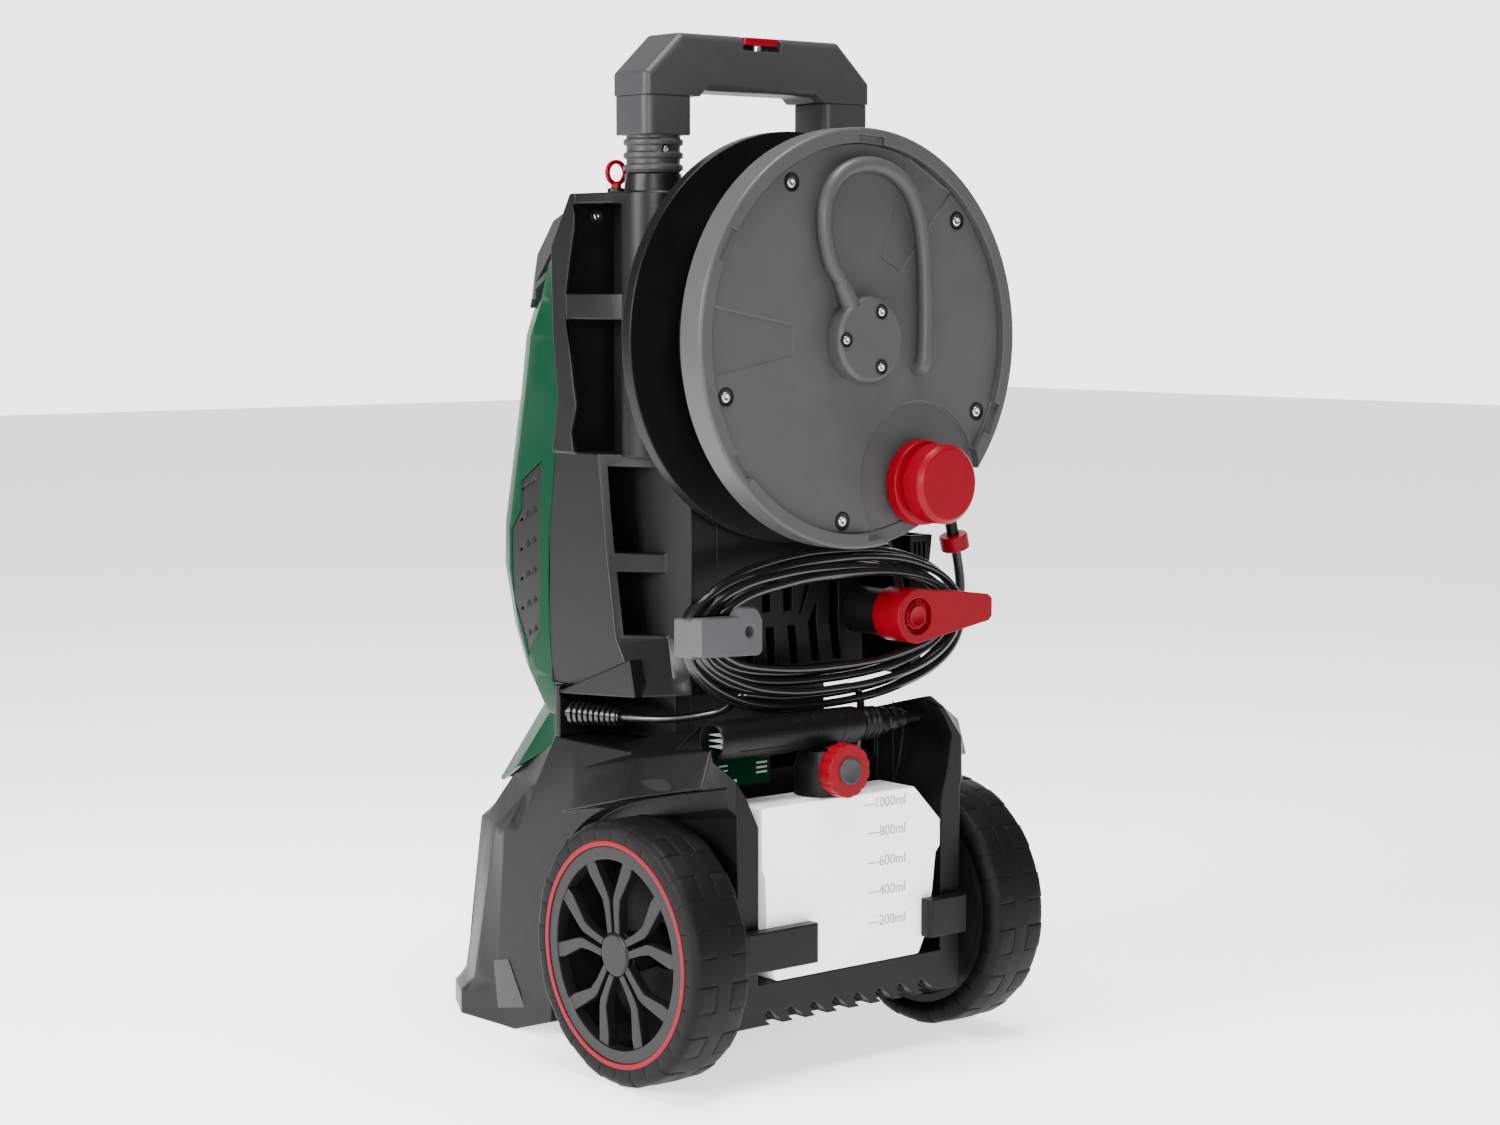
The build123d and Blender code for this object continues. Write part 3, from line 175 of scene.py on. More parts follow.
BLACK = material("black_moulding", (0.0024, 0.0024, 0.0026), 0.40, grain=0.30, shine=0.13)
HOUSING = material("casing_moulding", (0.0030, 0.0029, 0.0029), 0.38, grain=0.30, shine=0.17)
REEL_GREY = material("reel_moulding", (0.038, 0.038, 0.039), 0.38, grain=0.22, shine=0.16)
GRIP_GREY = material("grip_moulding", (0.024, 0.024, 0.025), 0.42, grain=0.30, shine=0.16)
HOOK_GREY = material("hook_moulding", (0.046, 0.046, 0.048), 0.42, grain=0.30, shine=0.16)
RIM_GREY = material("rim_moulding", (0.0055, 0.0055, 0.0058), 0.36, grain=0.22, shine=0.16)
TYRE = material("tyre_moulding", (0.0032, 0.0032, 0.0033), 0.55, grain=0.35, grain_size=0.0016,
                uneven=0.18, shine=0.09)
GREEN = material("green_moulding", (0.0001, 0.0230, 0.0098), 0.36, grain=0.15, shine=0.04)
RED = material("red_moulding", (0.140, 0.0001, 0.0050), 0.34, grain=0.12, shine=0.10)
WHITE = material("bottle_moulding", (0.93, 0.93, 0.935), 0.36, grain=0.08, uneven=0.015, shine=0.5)
PALE = material("printed_lines", (0.42, 0.46, 0.43), 0.5)
# the raised marks are painted grey as the shade that shows them up on the white bottle
MARK_SHADE = material("raised_marks_shade_grey", (0.30, 0.30, 0.31), 0.45, uneven=0.02)
CABLE = material("cable_sheath", (0.0050, 0.0050, 0.0050), 0.24, grain=0.08, uneven=0.2, shine=0.5)
HOSE = material("hose_sheath", (0.0055, 0.0055, 0.0055), 0.34, grain=0.2, uneven=0.2)
STEEL = material("bright_steel", (0.55, 0.55, 0.56), 0.28, metallic=1.0, grain=0.1)
BRASS = material("turned_brass", (0.62, 0.42, 0.16), 0.30, metallic=1.0, grain=0.1)
CAST = material("die_casting", (0.45, 0.45, 0.46), 0.48, metallic=0.9, grain=0.5)
INNER = material("inner_moulding", (0.0035, 0.0035, 0.0035), 0.6, grain=0.3, shine=0.15)


def paint(obj, chosen):
    """Give the whole object one material."""
    obj.data.materials.clear()
    obj.data.materials.append(chosen)


# ---------------------------------------------------------------- mesh helpers
def new_piece(name, data, chosen, body, replaced=()):
    """Link a piece into the scene, painted and riding on its body."""
    obj = bpy.data.objects.new(name, data)
    bpy.context.scene.collection.objects.link(obj)
    paint(obj, chosen)
    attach(obj, body)
    if replaced:
        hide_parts(*replaced)
    return obj


def mesh_from(bm, name):
    """Turn a bmesh into a mesh with outward faces."""
    bmesh.ops.recalc_face_normals(bm, faces=bm.faces)
    mesh = bpy.data.meshes.new(name)
    bm.to_mesh(mesh)
    bm.free()
    for face in mesh.polygons:
        face.use_smooth = True
    return mesh


def weighted(obj):
    """Shade flat faces flat and the rounded edges between them round."""
    modifier = obj.modifiers.new("weighted", "WEIGHTED_NORMAL")
    modifier.weight = 80
    modifier.keep_sharp = False
    for edge in obj.data.edges:
        edge.use_edge_sharp = False


def round_edges(bm, width):
    """Round the edges of a mesh that turn by more than 28 degrees."""
    sharp = [e for e in bm.edges
             if len(e.link_faces) == 2 and e.calc_face_angle(0) > math.radians(28)]
    bmesh.ops.bevel(bm, geom=sharp, offset=width, offset_type="OFFSET", segments=2,
                    profile=0.6, affect="EDGES", clamp_overlap=False)


def cad_copy(node):
    """A bmesh of a CAD node with its flat faces whole again."""
    bm = bmesh.new()
    source = NODES[node].data
    points = [bm.verts.new(v.co) for v in source.vertices]
    for face in source.polygons:
        try:
            bm.faces.new([points[i] for i in face.vertices])
        except ValueError:
            continue
    bmesh.ops.remove_doubles(bm, verts=bm.verts, dist=1e-6)
    bmesh.ops.dissolve_limit(bm, angle_limit=math.radians(1.0), verts=bm.verts, edges=bm.edges)
    return bm


def moulded(node, body, chosen, width):
    """The CAD node's shape with moulded, rounded edges."""
    bm = cad_copy(node)
    round_edges(bm, width)
    piece = new_piece(node + "_moulding", mesh_from(bm, node + "_moulding"), chosen, body, [node])
    weighted(piece)
    return piece


def turned(bm, profile, centre, axis, steps=64):
    """Turn a closed or open (along, radius) profile about a line; axis is a unit vector."""
    axis = Vector(axis).normalized()
    side = axis.orthogonal().normalized()
    other = axis.cross(side)
    centre = Vector(centre)
    rows = []
    for along, radius in profile:
        if radius < 1e-6:
            rows.append([bm.verts.new(centre + axis * along)])
            continue
        rows.append([bm.verts.new(centre + axis * along + radius * (
            side * math.cos(2 * math.pi * k / steps) + other * math.sin(2 * math.pi * k / steps)))
            for k in range(steps)])
    for low, high in zip(rows, rows[1:]):
        for k in range(steps):
            j = (k + 1) % steps
            if len(low) == 1 and len(high) > 1:
                bm.faces.new((low[0], high[k], high[j]))
            elif len(high) == 1 and len(low) > 1:
                bm.faces.new((low[k], high[0], low[j]))
            elif len(low) > 1:
                bm.faces.new((low[k], high[k], high[j], low[j]))
    return rows


def prism(bm, outline, shift):
    """A closed prism: an outline of points, and the same moved by shift."""
    shift = Vector(shift)
    low = [bm.verts.new(Vector(p)) for p in outline]
    high = [bm.verts.new(Vector(p) + shift) for p in outline]
    bm.faces.new(low)
    bm.faces.new(high)
    for k in range(len(low)):
        j = (k + 1) % len(low)
        bm.faces.new((low[k], low[j], high[j], high[k]))


def block(bm, low, high):
    """A closed box between two corners."""
    (x0, y0, z0), (x1, y1, z1) = low, high
    prism(bm, [(x0, y0, z0), (x1, y0, z0), (x1, y1, z0), (x0, y1, z0)], (0, 0, z1 - z0))


def piece_of(bm, name, chosen, body, replaced=(), bevel=0.0):
    """Finish a bmesh as a piece, with its sharp edges rounded if asked."""
    if bevel:
        round_edges(bm, bevel)
    piece = new_piece(name, mesh_from(bm, name), chosen, body, replaced)
    weighted(piece)
    return piece


add_camera()
add_studio()


# ---------------------------------------------------------------- mains cable and hose
CABLE_R = 0.0035
GLAND_START = Vector((0.133, -0.050, 0.293))
GLAND_DIR = Vector((-0.3, 0.954, 0)).normalized()
GLAND_END = GLAND_START + GLAND_DIR * 0.062
LEAD = [GLAND_END + GLAND_DIR * 0.0003, Vector((0.1075, 0.034, 0.2935)), Vector((0.095, 0.057, 0.295)),
        Vector((0.080, 0.078, 0.299)), Vector((0.069, 0.098, 0.305))]
PLUG_LEAD = [Vector((-0.057, 0.130, 0.3032)), Vector((-0.059, 0.126, 0.285)),
             Vector((-0.0605, 0.1215, 0.265)), Vector((-0.060, 0.1195, 0.2435))]

COIL_TURNS = 7
COIL_X = -0.019
COIL_Z = 0.3745
COIL_OUT = (0.1585, 0.0705)    # half length and half height of the outermost turn
COIL_IN = (0.1290, 0.0355)     # and of the innermost
LANES = (0.72, 0.14, 0.92, 0.33, 0.53, 0.0, 1.0, 0.60)
DEPTHS = (0.128, 0.1225, 0.136, 0.1305, 0.143, 0.1375, 0.1235, 0.130)


def coil_point(run, lane, depth):
    """A point of the coil: run counts turns from the bottom towards -X, lane goes from inside to out."""
    phi = 2 * math.pi * run
    length = COIL_IN[0] + (COIL_OUT[0] - COIL_IN[0]) * lane
    height = COIL_IN[1] + (COIL_OUT[1] - COIL_IN[1]) * lane
    s, c = math.sin(phi), math.cos(phi)
    x = -length * math.copysign(abs(s) ** 0.86, s)
    z = -height * math.copysign(abs(c) ** 0.92, c)
    # the lower strands hang fullest under the fixed hook
    x += 0.30 * max(0.0, -z) * (1 - abs(x) / 0.16)
    left = max(0.0, min(1.0, (x - 0.06) / 0.09))
    depth = depth * (1 - left) + (0.1225 + 0.010 * (1 - lane)) * left
    return Vector((COIL_X + x, depth, COIL_Z + z))


def coil_points(per_turn=34):
    """Seven turns over the two hooks."""
    dice = random.Random(4)
    start = -0.092
    end = COIL_TURNS + 0.041
    count = int((end - start) * per_turn)
    points = []
    for k in range(count + 1):
        run = start + (end - start) * k / count
        turn = min(max(run, 0), COIL_TURNS - 0.001)
        whole = int(turn)
        part = turn - whole
        mix = part * part * (3 - 2 * part)
        lane = LANES[whole] * (1 - mix) + LANES[whole + 1] * mix
        depth = DEPTHS[whole] * (1 - mix) + DEPTHS[whole + 1] * mix
        points.append(coil_point(run, lane + dice.uniform(-0.015, 0.015), depth))
    return points


def soft_line(name, points, radius, chosen, body, replaced):
    """A round cord as one smooth NURBS curve."""
    data = bpy.data.curves.new(name, "CURVE")
    data.dimensions = "3D"
    data.bevel_depth = radius
    data.bevel_resolution = 4
    data.resolution_u = 6
    data.use_fill_caps = True
    spline = data.splines.new("NURBS")
    spline.points.add(len(points) - 1)
    for knot, point in zip(spline.points, points):
        knot.co = (*point, 1)
    spline.order_u = 3
    spline.use_endpoint_u = True
    return new_piece(name, data, chosen, body, replaced)


def add_mains_cable():
    """From the strain relief, seven times round the hooks, and down to the plug behind the bottle."""
    route = LEAD + coil_points() + PLUG_LEAD
    cable = soft_line("mains_cable", route, CABLE_R, CABLE, "washer",
                      ["mains_leads", "mains_coil"])
    paint(NODES["strain_relief"], CABLE)
    paint(NODES["mains_plug"], CABLE)


HOSE_R = 0.0045
REEL_Z = 0.622
LAYER_R = (0.1197, 0.1285)
LAYER_Y = (0.1095, 0.1605)
HOSE_PITCH = 0.0091
TAIL_Y = 0.112             # where the free end leaves the winding


def reel_point(radius, y, turn):
    """A point on the reel, counted in turns from its lowest point towards -X."""
    angle = 2 * math.pi * turn
    return Vector((-radius * math.sin(angle), y, REEL_Z - radius * math.cos(angle)))


def add_hose():
    """Two layers on the drum, and the free end that hangs behind the mains cable."""
    per_turn = 26
    turns = (LAYER_Y[1] - LAYER_Y[0]) / HOSE_PITCH
    steps = int(turns * per_turn)
    points = []
    for k in range(steps + 1):
        part = k / steps
        y = LAYER_Y[0] + (LAYER_Y[1] - LAYER_Y[0]) * part
        points.append(reel_point(LAYER_R[0], y, -2 * turns + part * turns))
    for k in range(4, steps + 1):
        part = k / steps
        y = LAYER_Y[1] + (TAIL_Y - LAYER_Y[1]) * part
        points.append(reel_point(LAYER_R[1], y, -turns + part * turns))
    wound = soft_line("hose_wound", points, HOSE_R, HOSE, "reel", ["hose_winding"])
    tail = [(0.0, 0.4935), (-0.034, 0.4800), (-0.066, 0.471), (-0.094, 0.452), (-0.112, 0.424),
            (-0.119, 0.394), (-0.130, 0.364), (-0.155, 0.348), (-0.182, 0.358), (-0.194, 0.386),
            (-0.192, 0.410)]
    tail = [Vector((x, TAIL_Y, z)) for x, z in tail] + [Vector((-0.186, 0.113, 0.430))]
    free = soft_line("hose_free_end", tail, HOSE_R, HOSE, "washer", ["hose_tail"])


# ---------------------------------------------------------------- wheels
AXLE = Vector((0, 0.107, 0.112))
TREAD_START = 19.4         # degrees from +Y to the end of a raised panel
TREAD_PERIOD = 24.0
TYRE_LINE = [(139.2, 93), (139.2, 103), (140.2, 107), (143, 110.6), (147, 111.8), (160.3, 112),
             (160.8, 112), (161.4, 112), (161.9, 112), (175.9, 112), (176.4, 112), (177.0, 112),
             (177.5, 112), (191, 111.9), (195.2, 110.8), (198.0, 107.8), (199.0, 105.0), (199.0, 98.0),
             (198.6, 97.0), (198.6, 92.5)]


def tread_cut(along, radius, angle):
    """How deep the tread is cut at a point of the tyre, in mm."""
    phase = (angle - TREAD_START) % TREAD_PERIOD
    panel = phase > TREAD_PERIOD / 2
    edge = min(abs(phase), abs(phase - TREAD_PERIOD), abs(phase - TREAD_PERIOD / 2))
    outer = along > 176.1
    inner = along < 161.5
    cut = 0.0
    if edge < 0.28 and (outer or inner) and radius > 97.5:
        cut = 1.1
    if panel and (176.2 < along < 177.2 or 160.5 < along < 161.6):
        cut = 1.1
    if not panel and (along > 185 or along < 150) and radius > 104:
        cut = max(cut, 0.9)
    return cut


def add_tyre(side):
    """A tyre with raised tread panels along both shoulders, and the red ring on its outer wall."""
    tag = "left" if side > 0 else "right"
    bm = bmesh.new()
    angles = []
    for sector in range(30):
        start = TREAD_START + 12 * sector
        angles += [start + turn for turn in (-0.55, -0.24, 0.24, 0.55, 4.0, 8.0)]
    rows = []
    for angle in angles:
        ring = []
        for along, radius in TYRE_LINE:
            cut = tread_cut(along, radius, angle)
            across, deep = along, radius
            if radius > 104.5:
                deep -= cut
            elif along > 170:
                across -= cut
            else:
                across += cut
            turn = math.radians(angle)
            ring.append(bm.verts.new(AXLE + Vector((
                side * across / 1000, deep / 1000 * math.cos(turn), deep / 1000 * math.sin(turn)))))
        rows.append(ring)
    for k, ring in enumerate(rows):
        after = rows[(k + 1) % len(rows)]
        for j in range(len(ring)):
            i = (j + 1) % len(ring)
            bm.faces.new((ring[j], ring[i], after[i], after[j]))
    piece = new_piece(f"tyre_{tag}_tread", mesh_from(bm, f"tyre_{tag}_tread"), TYRE,
                      f"wheel_{tag}", [f"tyre_{tag}"])
    weighted(piece)
    bm = bmesh.new()
    turned(bm, [(side * 0.1984, 0.0912), (side * 0.1990, 0.0915), (side * 0.1990, 0.0955),
                (side * 0.1984, 0.0958), (side * 0.1984, 0.0912)], AXLE, (1, 0, 0), 120)
    piece_of(bm, f"tyre_{tag}_ring", RED, f"wheel_{tag}")
    # a plain disc on the wheel's inner side, painted dark as the shade inside the wheel seen through the
    # spokes
    bm = bmesh.new()
    turned(bm, [(side * 0.1435, 0.0200), (side * 0.1435, 0.0855), (side * 0.1455, 0.0855),
                (side * 0.1455, 0.0200), (side * 0.1435, 0.0200)], AXLE, (1, 0, 0), 96)
    piece_of(bm, f"rim_{tag}_shade_disc", INNER, f"wheel_{tag}")


# ---------------------------------------------------------------- foam bottle
NOZZLE = Vector((0, 0.159, 0.291))


def add_foam_nozzle():
    """The nozzle's open hood, barrel with raised lines, rings and quick connector."""
    bm = bmesh.new()
    profile = [(96, 0), (96, 12.6), (128, 14.2), (135, 14.6), (135, 15.4), (133, 16.2), (126, 16.5),
               (52, 16.5), (51.4, 16.0), (50.4, 16.0), (49.8, 16.5), (34, 16.5), (33.4, 16.0),
               (32.4, 16.0), (31.8, 16.5), (4, 16.5), (3.4, 15.9), (2.4, 15.9), (1.8, 16.4), (-20, 16.0),
               (-24, 15.0), (-26, 12.4), (-29, 12.4), (-29.4, 14.6), (-32.4, 14.6), (-32.8, 11.6),
               (-35.4, 11.6), (-35.8, 14.4), (-38.6, 14.4), (-39, 11.4), (-41.6, 11.4), (-42, 14.0),
               (-44.8, 14.0), (-45.2, 10.8), (-52, 10.4), (-52.4, 11.6), (-57, 11.4), (-57.4, 9.0),
               (-63, 8.6), (-63.6, 10.2), (-67, 10.2), (-67.6, 8.0), (-74, 7.4), (-74.4, 8.4), (-77, 8.4),
               (-77.4, 6.6), (-84, 6.0), (-84.6, 4.8), (-97, 4.2), (-99, 3.4), (-99, 0)]
    turned(bm, [(x / 1000, r / 1000) for x, r in profile], NOZZLE, (1, 0, 0), 72)
    for turn in range(8):
        angle = math.radians(45 * turn + 14)
        out = Vector((0, math.cos(angle), math.sin(angle)))
        across = Vector((0, -math.sin(angle), math.cos(angle)))
        near, far = (0.060, 0.116) if turn % 2 else (0.054, 0.084)
        base = NOZZLE + out * 0.0162
        start, end = base + Vector((near, 0, 0)), base + Vector((far, 0, 0))
        prism(bm, [start - across * 0.0004, end - across * 0.0004, end + across * 0.0004,
                   start + across * 0.0004], out * 0.0008)
    # the bayonet lug of the connector
    block(bm, (-0.0625, 0.166, 0.286), (-0.0535, 0.1725, 0.296))
    piece_of(bm, "foam_nozzle_body", BLACK, "washer", ["foam_nozzle"])
    # thin pale fins inside the hood
    bm = bmesh.new()
    for height in (0.2855, 0.2905, 0.2955):
        block(bm, (0.1010, 0.150, height), (0.1305, 0.168, height + 0.0007))
    piece_of(bm, "foam_nozzle_fins", PALE, "washer")
    bm = bmesh.new()
    turned(bm, [(0.1993, 0), (0.1993, 0.0085), (0.2003, 0.0098), (0.1998, 0.0112), (0.1970, 0.0117)],
           (0.016, 0, 0.259), (0, 1, 0), 48)
    piece_of(bm, "dosing_cap", GRIP_GREY, "dosing")


def add_bottle_marks():
    """Raised volume marks and a short dash in front of each, painted grey as the shade that shows
    embossing on the white bottle.
    """
    for height, volume in ((0.2215, "1000ml"), (0.1965, "800ml"), (0.1705, "600ml"), (0.1450, "400ml"),
                           (0.1185, "200ml")):
        data = bpy.data.curves.new("mark_" + volume, "FONT")
        data.body = "—" + volume
        data.size = 0.0125
        data.extrude = 0.00035
        data.align_x = "RIGHT"
        place = Vector((-0.0600, 0.18515, height))
        mark = bpy.data.objects.new("mark_" + volume, data)
        bpy.context.scene.collection.objects.link(mark)
        mark.matrix_world = Matrix(((-1, 0, 0, place.x), (0, 0, 1, place.y), (0, 1, 0, place.z),
                                    (0, 0, 0, 1)))
        data.materials.append(MARK_SHADE)
        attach(mark, "washer")


def add_rating_plate():
    """A green label with plain printed lines, on the wall behind the bottle's neck."""
    bm = bmesh.new()
    block(bm, (0.022, 0.1001, 0.238), (0.092, 0.1005, 0.262))
    piece_of(bm, "rating_label", GREEN, "washer")
    bm = bmesh.new()
    for row in range(4):
        z = 0.2565 - 0.0042 * row
        block(bm, (0.070, 0.1005, z), (0.089, 0.1007, z + 0.0012))
        if row < 3:
            block(bm, (0.026, 0.1005, z - 0.001), (0.038, 0.1007, z + 0.0008))
    block(bm, (0.060, 0.1005, 0.2415), (0.083, 0.1007, 0.2445))
    piece_of(bm, "rating_lines", PALE, "washer")


# ---------------------------------------------------------------- screws
def add_screw(shade_cup, head, place, axis, radius):
    """A dished cup painted dark as the shade in the screw's recess, and a bright head with a star recess,
    facing along axis.
    """
    axis = Vector(axis).normalized()
    place = Vector(place)
    turned(shade_cup, [(0, radius * 1.9), (0.0006, radius * 1.9), (0.0008, radius * 1.6),
                 (0.0002, radius * 1.2), (-0.0004, radius * 1.05)], place, axis, 32)
    turned(head, [(0.0001, radius), (0.0007, radius), (0.0010, radius * 0.8), (0.0010, radius * 0.42),
                  (0.0003, radius * 0.34), (0.0003, 0)], place, axis, 12)


COVER_SCREWS = [(74.5, 751), (-112, 722), (144, 577), (-137, 558), (18, 470)]
HUB_SCREWS = [(-10, 645), (29, 622), (-10, 599)]


def add_reel_screws():
    """Five screws in the reel's cover and three in its hub."""
    # the cups are painted dark as the shade in the screws' recesses
    shade_cups, heads = bmesh.new(), bmesh.new()
    for x, z in COVER_SCREWS:
        add_screw(shade_cups, heads, (x / 1000, 0.1890, z / 1000), (0, 1, 0), 0.0042)
    for x, z in HUB_SCREWS:
        add_screw(shade_cups, heads, (x / 1000, 0.2062, z / 1000), (0, 1, 0), 0.0034)
    piece_of(shade_cups, "reel_screw_shade_cups", BLACK, "reel")
    piece_of(heads, "reel_screw_heads", STEEL, "reel", ["reel_screws"])


# ---------------------------------------------------------------- casing details
VENT_LEVELS = ((322, -68, -165), (358, -73, -182), (412, -75, -197), (450, -73, -196), (517, -64, -181))


def vent_x(y, z):
    """X of the green cover's side face at a height, from the cover's levels."""
    for (z0, s0, f0), (z1, s1, f1) in zip(VENT_LEVELS, VENT_LEVELS[1:]):
        if z <= z1 or z1 == 517:
            part = (z - z0) / (z1 - z0)
            seam, front = s0 + (s1 - s0) * part, f0 + (f1 - f0) * part
            return 124 + 7.5 * (y - front - 52) / (seam - front - 52)
    return 131.5


def add_vent_fins():
    """Louvres over the rear part of each side vent."""
    bm = bmesh.new()
    for side in (1, -1):
        for k in range(6):
            low = 357 + 26.6 * k
            for y0, y1, drop0, drop1 in ((-99, -110, 0, 4.5), (-110, -121, 4.5, 9)):
                top = min(low + 25.5, 505)
                points = []
                for y, z, out in ((y0, low + 3 - drop0, 0.6), (y1, low + 3 - drop1, -0.2),
                                  (y1, top - 4 - drop1, -2.4), (y0, top - 4 - drop0, -2.4)):
                    points.append((side * (vent_x(y, z) + out - 0.4) / 1000, y / 1000, z / 1000))
                prism(bm, points, (-side * 0.0022, 0, 0))
    piece_of(bm, "vent_fins", HOUSING, "washer")


TEARDROP = [(90.5, 251.7), (98.4, 254.5), (114.3, 257.5), (128.2, 255.6), (133.5, 251.6), (130.8, 248.0),
            (118.6, 246.5), (103.2, 248.0)]


def guard_x(y, z):
    """X of a mudguard's outer face between its widest section and its rear section."""
    part = (y - 80) / 85
    x0, z0, x1, z1 = 166 - 15 * part, 236 + 18 * part, 151 - 10 * part, 270 + 15 * part
    return x0 + (x1 - x0) * (z - z0) / (z1 - z0)


def add_small_details():
    """Recesses in the mudguards and the base, and the screws of the casing and the handle."""
    rim, hole = bmesh.new(), bmesh.new()
    for side in (1, -1):
        outline = [Vector((side * guard_x(y, z), y, z)) / 1000 for y, z in TEARDROP]
        middle = sum(outline, Vector()) / len(outline)
        normal = (outline[2] - outline[0]).cross(outline[5] - outline[0]).normalized()
        if normal.x * side < 0:
            normal.negate()
        prism(rim, [p + normal * 0.0001 for p in outline], normal * 0.0007)
        prism(hole, [middle + (p - middle) * 0.86 + normal * 0.0006 for p in outline], normal * 0.0005)
    piece_of(rim, "mudguard_recess_rims", HOUSING, "washer", bevel=0.0003)
    piece_of(hole, "mudguard_recesses", INNER, "washer")
    # a thin panel on each side of the base, painted lighter grey as the highlight on the recessed facet
    # there
    panel = bmesh.new()
    for side in (1, -1):
        prism(panel, [(side * x / 1000, y / 1000, z / 1000) for x, y, z in (
            (150.9, -134.9, 57.5), (150.7, -113.2, 62.4), (151.2, -86.9, 23.1), (151.6, -127.5, 15.2))],
            (side * 0.0009, 0, 0))
    piece_of(panel, "base_side_highlight_panels", GRIP_GREY, "washer", bevel=0.0003)
    # the cups are painted dark as the shade in the screws' recesses
    shade_cups, heads = bmesh.new(), bmesh.new()
    add_screw(shade_cups, heads, (0.1105, -0.0283, 0.7268), (0.04, 1, 0), 0.0034)
    add_screw(shade_cups, heads, (-0.1105, -0.0283, 0.7268), (-0.04, 1, 0), 0.0034)
    piece_of(shade_cups, "casing_screw_shade_cups", INNER, "washer")
    piece_of(heads, "casing_screw_heads", STEEL, "washer")
    # the cups are painted dark as the shade in the screws' recesses
    shade_cups, heads = bmesh.new(), bmesh.new()
    for x in (0.1045, -0.0955):
        add_screw(shade_cups, heads, (x, 0.0612, 0.7815), (0, 1, 0), 0.0028)
    piece_of(shade_cups, "handle_screw_shade_cups", INNER, "handle")
    piece_of(heads, "handle_screw_heads", STEEL, "handle")


def add_front_grip():
    """The front grip's shape, its two lower corners cut back along the casing."""
    bm = cad_copy("front_grip")
    for side in (1, -1):
        cut = bmesh.ops.bisect_plane(bm, geom=bm.verts[:] + bm.edges[:] + bm.faces[:],
                                     plane_co=(side * 0.117, -0.1145, 0.662),
                                     plane_no=(side * 0.84, -0.52, 0.10), clear_outer=True)
        rim = [part for part in cut["geom_cut"] if isinstance(part, bmesh.types.BMEdge)]
        bmesh.ops.edgenet_fill(bm, edges=rim)
    round_edges(bm, 0.0006)
    weighted(new_piece("front_grip_moulding", mesh_from(bm, "front_grip_moulding"), GRIP_GREY, "washer",
                       ["front_grip"]))


PIPE_LINE = [(28.5, 672.5), (36, 680), (41, 692), (45.5, 708), (47, 722), (44.5, 739), (34.5, 755),
             (18, 765), (-3, 768.5), (-24, 765), (-41, 756), (-54, 741), (-62, 721), (-66, 697),
             (-68, 663), (-68.2, 629), (-67, 604)]
PIPE_END = [(-66.5, 196.5, 598.5), (-66.5, 193.5, 596.8), (-66.5, 189.0, 596.5)]


def add_swivel_pipe():
    """The pipe that loops over the reel's face and ends in its cover."""
    points = [Vector((x, 197.5, z)) / 1000 for x, z in PIPE_LINE]
    points += [Vector(point) / 1000 for point in PIPE_END]
    soft_line("swivel_pipe_loop", points, 0.0065, REEL_GREY, "reel", ["swivel_pipe"])


def add_hook_cap():
    """The turning hook's red centre: a cap over the end of its post, a ring and three webs."""
    bm = bmesh.new()
    turned(bm, [(0.1632, 0), (0.1632, 0.0078), (0.1646, 0.0080), (0.1648, 0.0094), (0.1632, 0.0096)],
           (-0.0925, 0, 0.380), (0, 1, 0), 48)
    centre = Vector((-0.0925, 0, 0.380))
    for turn in (90, 210, 330):
        out = Vector((math.cos(math.radians(turn)), 0, math.sin(math.radians(turn))))
        across = Vector((-out.z, 0, out.x)) * 0.0009
        start = centre + out * 0.0119 + Vector((0, 0.1581, 0))
        end = centre + out * 0.0158 + Vector((0, 0.1581, 0))
        prism(bm, [start - across, end - across, end + across, start + across], (0, 0.0050, 0))
    piece_of(bm, "hook_cap", RED, "cable_hook", bevel=0.0002)


add_mains_cable()
add_hose()
for wheel_side in (1, -1):
    add_tyre(wheel_side)
add_foam_nozzle()
add_bottle_marks()
add_rating_plate()
add_reel_screws()
add_vent_fins()
add_small_details()
add_hook_cap()
add_swivel_pipe()
add_front_grip()


# ---------------------------------------------------------------- CAD nodes that keep their shape
for node, chosen in {
        "axle": STEEL, "handle_tubes": STEEL, "button_spring": STEEL, "bearings": STEEL,
        "motor_rotor": STEEL, "wobble_plate": STEEL, "pump_pistons": STEEL,
        "hose_nipple": BLACK, "hose_coupling": RED, "reel_shaft": STEEL,
        "pressure_outlet": BRASS, "water_inlet": BRASS,
        "pump_head": CAST, "pump_body": CAST, "motor_housing": CAST, "switch_box": INNER,
        "pickup_tube": WHITE, "crank_pin": INNER, "reel_drum": INNER}.items():
    paint(NODES[node], chosen)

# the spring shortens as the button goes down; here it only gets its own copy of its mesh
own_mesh(NODES["button_spring"])

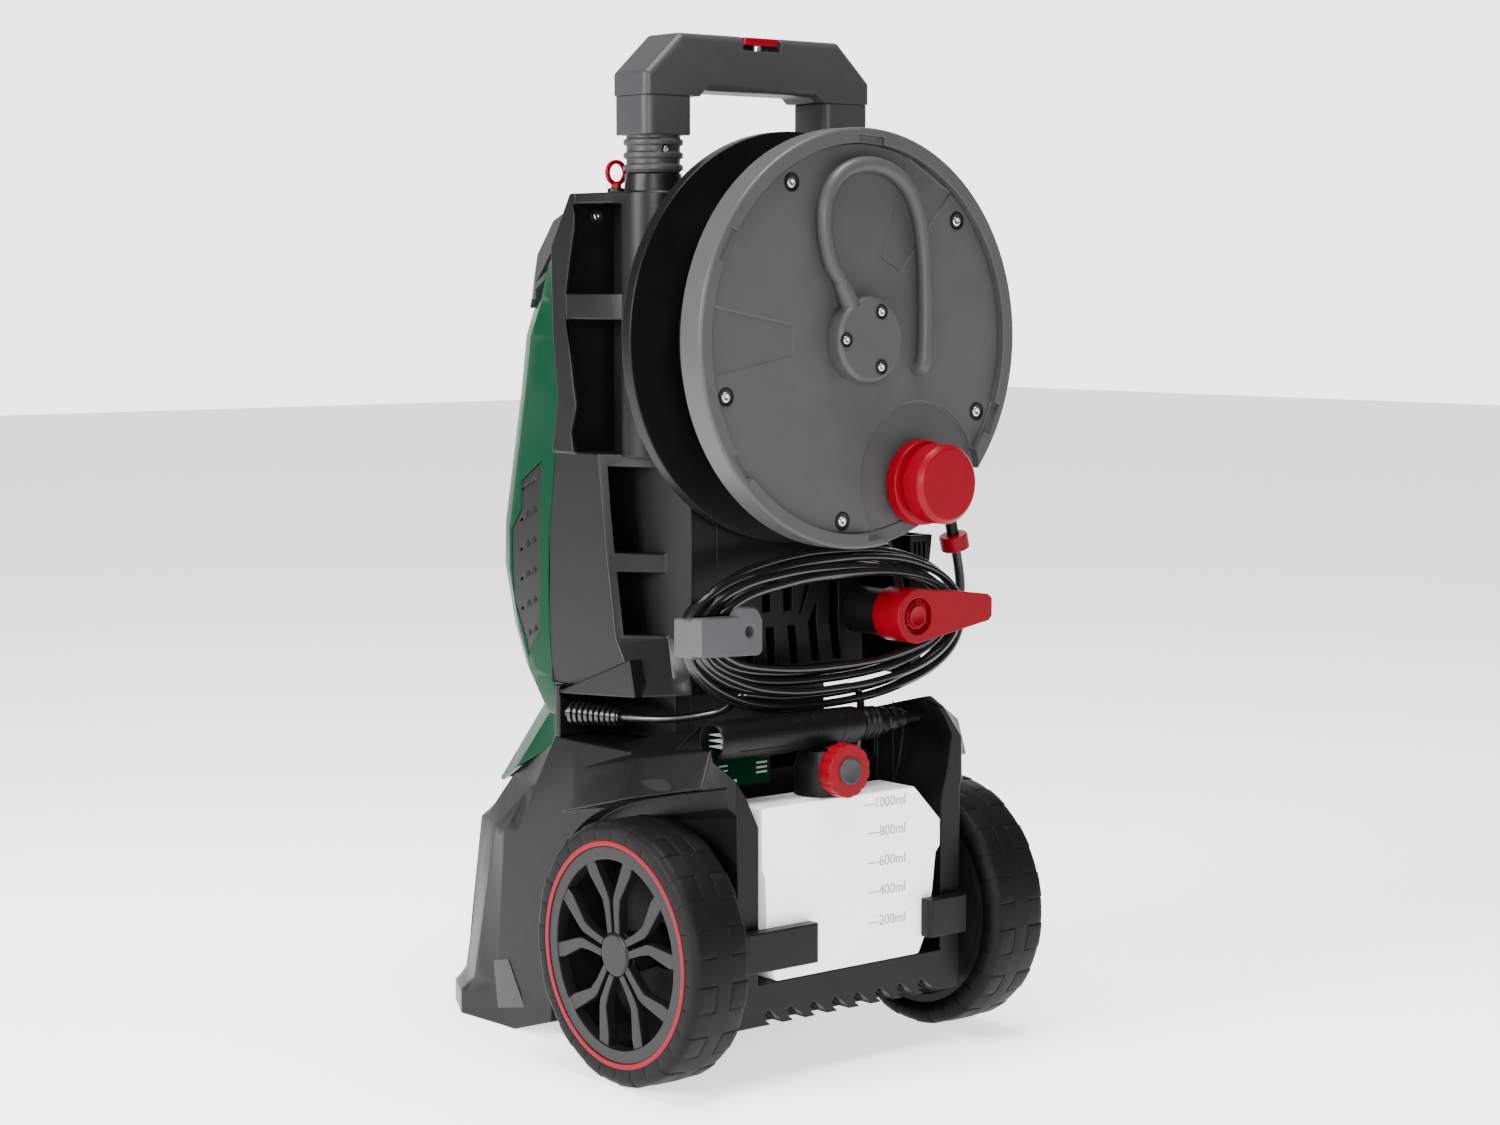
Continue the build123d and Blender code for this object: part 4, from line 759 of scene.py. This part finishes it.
for node, body, slot, chosen, width in (
        ("base_shell", "washer", "black_plastic", BLACK, 0.0014),
        ("rear_housing", "washer", "black_plastic", HOUSING, 0.0012),
        ("accessory_holders", "washer", "black_plastic", HOUSING, 0.0014),
        ("gun_holder", "washer", "black_plastic", BLACK, 0.0012),
        ("rear_grille", "washer", "black_plastic", BLACK, 0.0008),
        ("front_cover", "washer", "green_plastic", GREEN, 0.0012),
        ("front_panel", "washer", "grey_plastic", GRIP_GREY, 0.0012),
        ("green_skirt", "washer", "green_plastic", GREEN, 0.0010),
        ("side_vents", "washer", "grey_plastic", HOUSING, 0.0008),
        ("cable_hook_fixed", "washer", "black_plastic", HOOK_GREY, 0.0026),
        ("cable_hook_turning", "cable_hook", "red_plastic", RED, 0.0010),
        ("bottle_clamps", "washer", "black_plastic", BLACK, 0.0015),
        ("handle_legs", "handle", "grey_plastic", GRIP_GREY, 0.0008),
        ("handle_grip", "handle", "grey_plastic", GRIP_GREY, 0.0008),
        ("release_button", "button", "red_plastic", RED, 0.0008),
        ("power_switch", "switch", "red_plastic", RED, 0.0010),
        ("cleaning_needle", "needle", "red_plastic", RED, 0.0006),
        ("dosing_knob", "dosing", "red_plastic", RED, 0.0008),
        ("crank_knob", "crank", "red_plastic", RED, 0.0010),
        ("reel_front_ring", "reel", "black_plastic", REEL_GREY, 0.0012),
        ("reel_rear_flange", "reel", "black_plastic", BLACK, 0.0012),
        ("reel_cover", "reel", "grey_plastic", REEL_GREY, 0.0008),
        ("hose_swivel", "reel", "grey_plastic", REEL_GREY, 0.0010),
        ("foam_bottle", "washer", "bottle_plastic", WHITE, 0.0015),
        ("bottle_collar", "washer", "black_plastic", BLACK, 0.0006),
        ("rim_left", "wheel_left", "rim_plastic", RIM_GREY, 0.0008),
        ("rim_right", "wheel_right", "rim_plastic", RIM_GREY, 0.0008),
        ("hub_cap_left", "wheel_left", "rim_plastic", RIM_GREY, 0.0008),
        ("hub_cap_right", "wheel_right", "rim_plastic", RIM_GREY, 0.0008)):
    moulded(node, body, chosen, width)
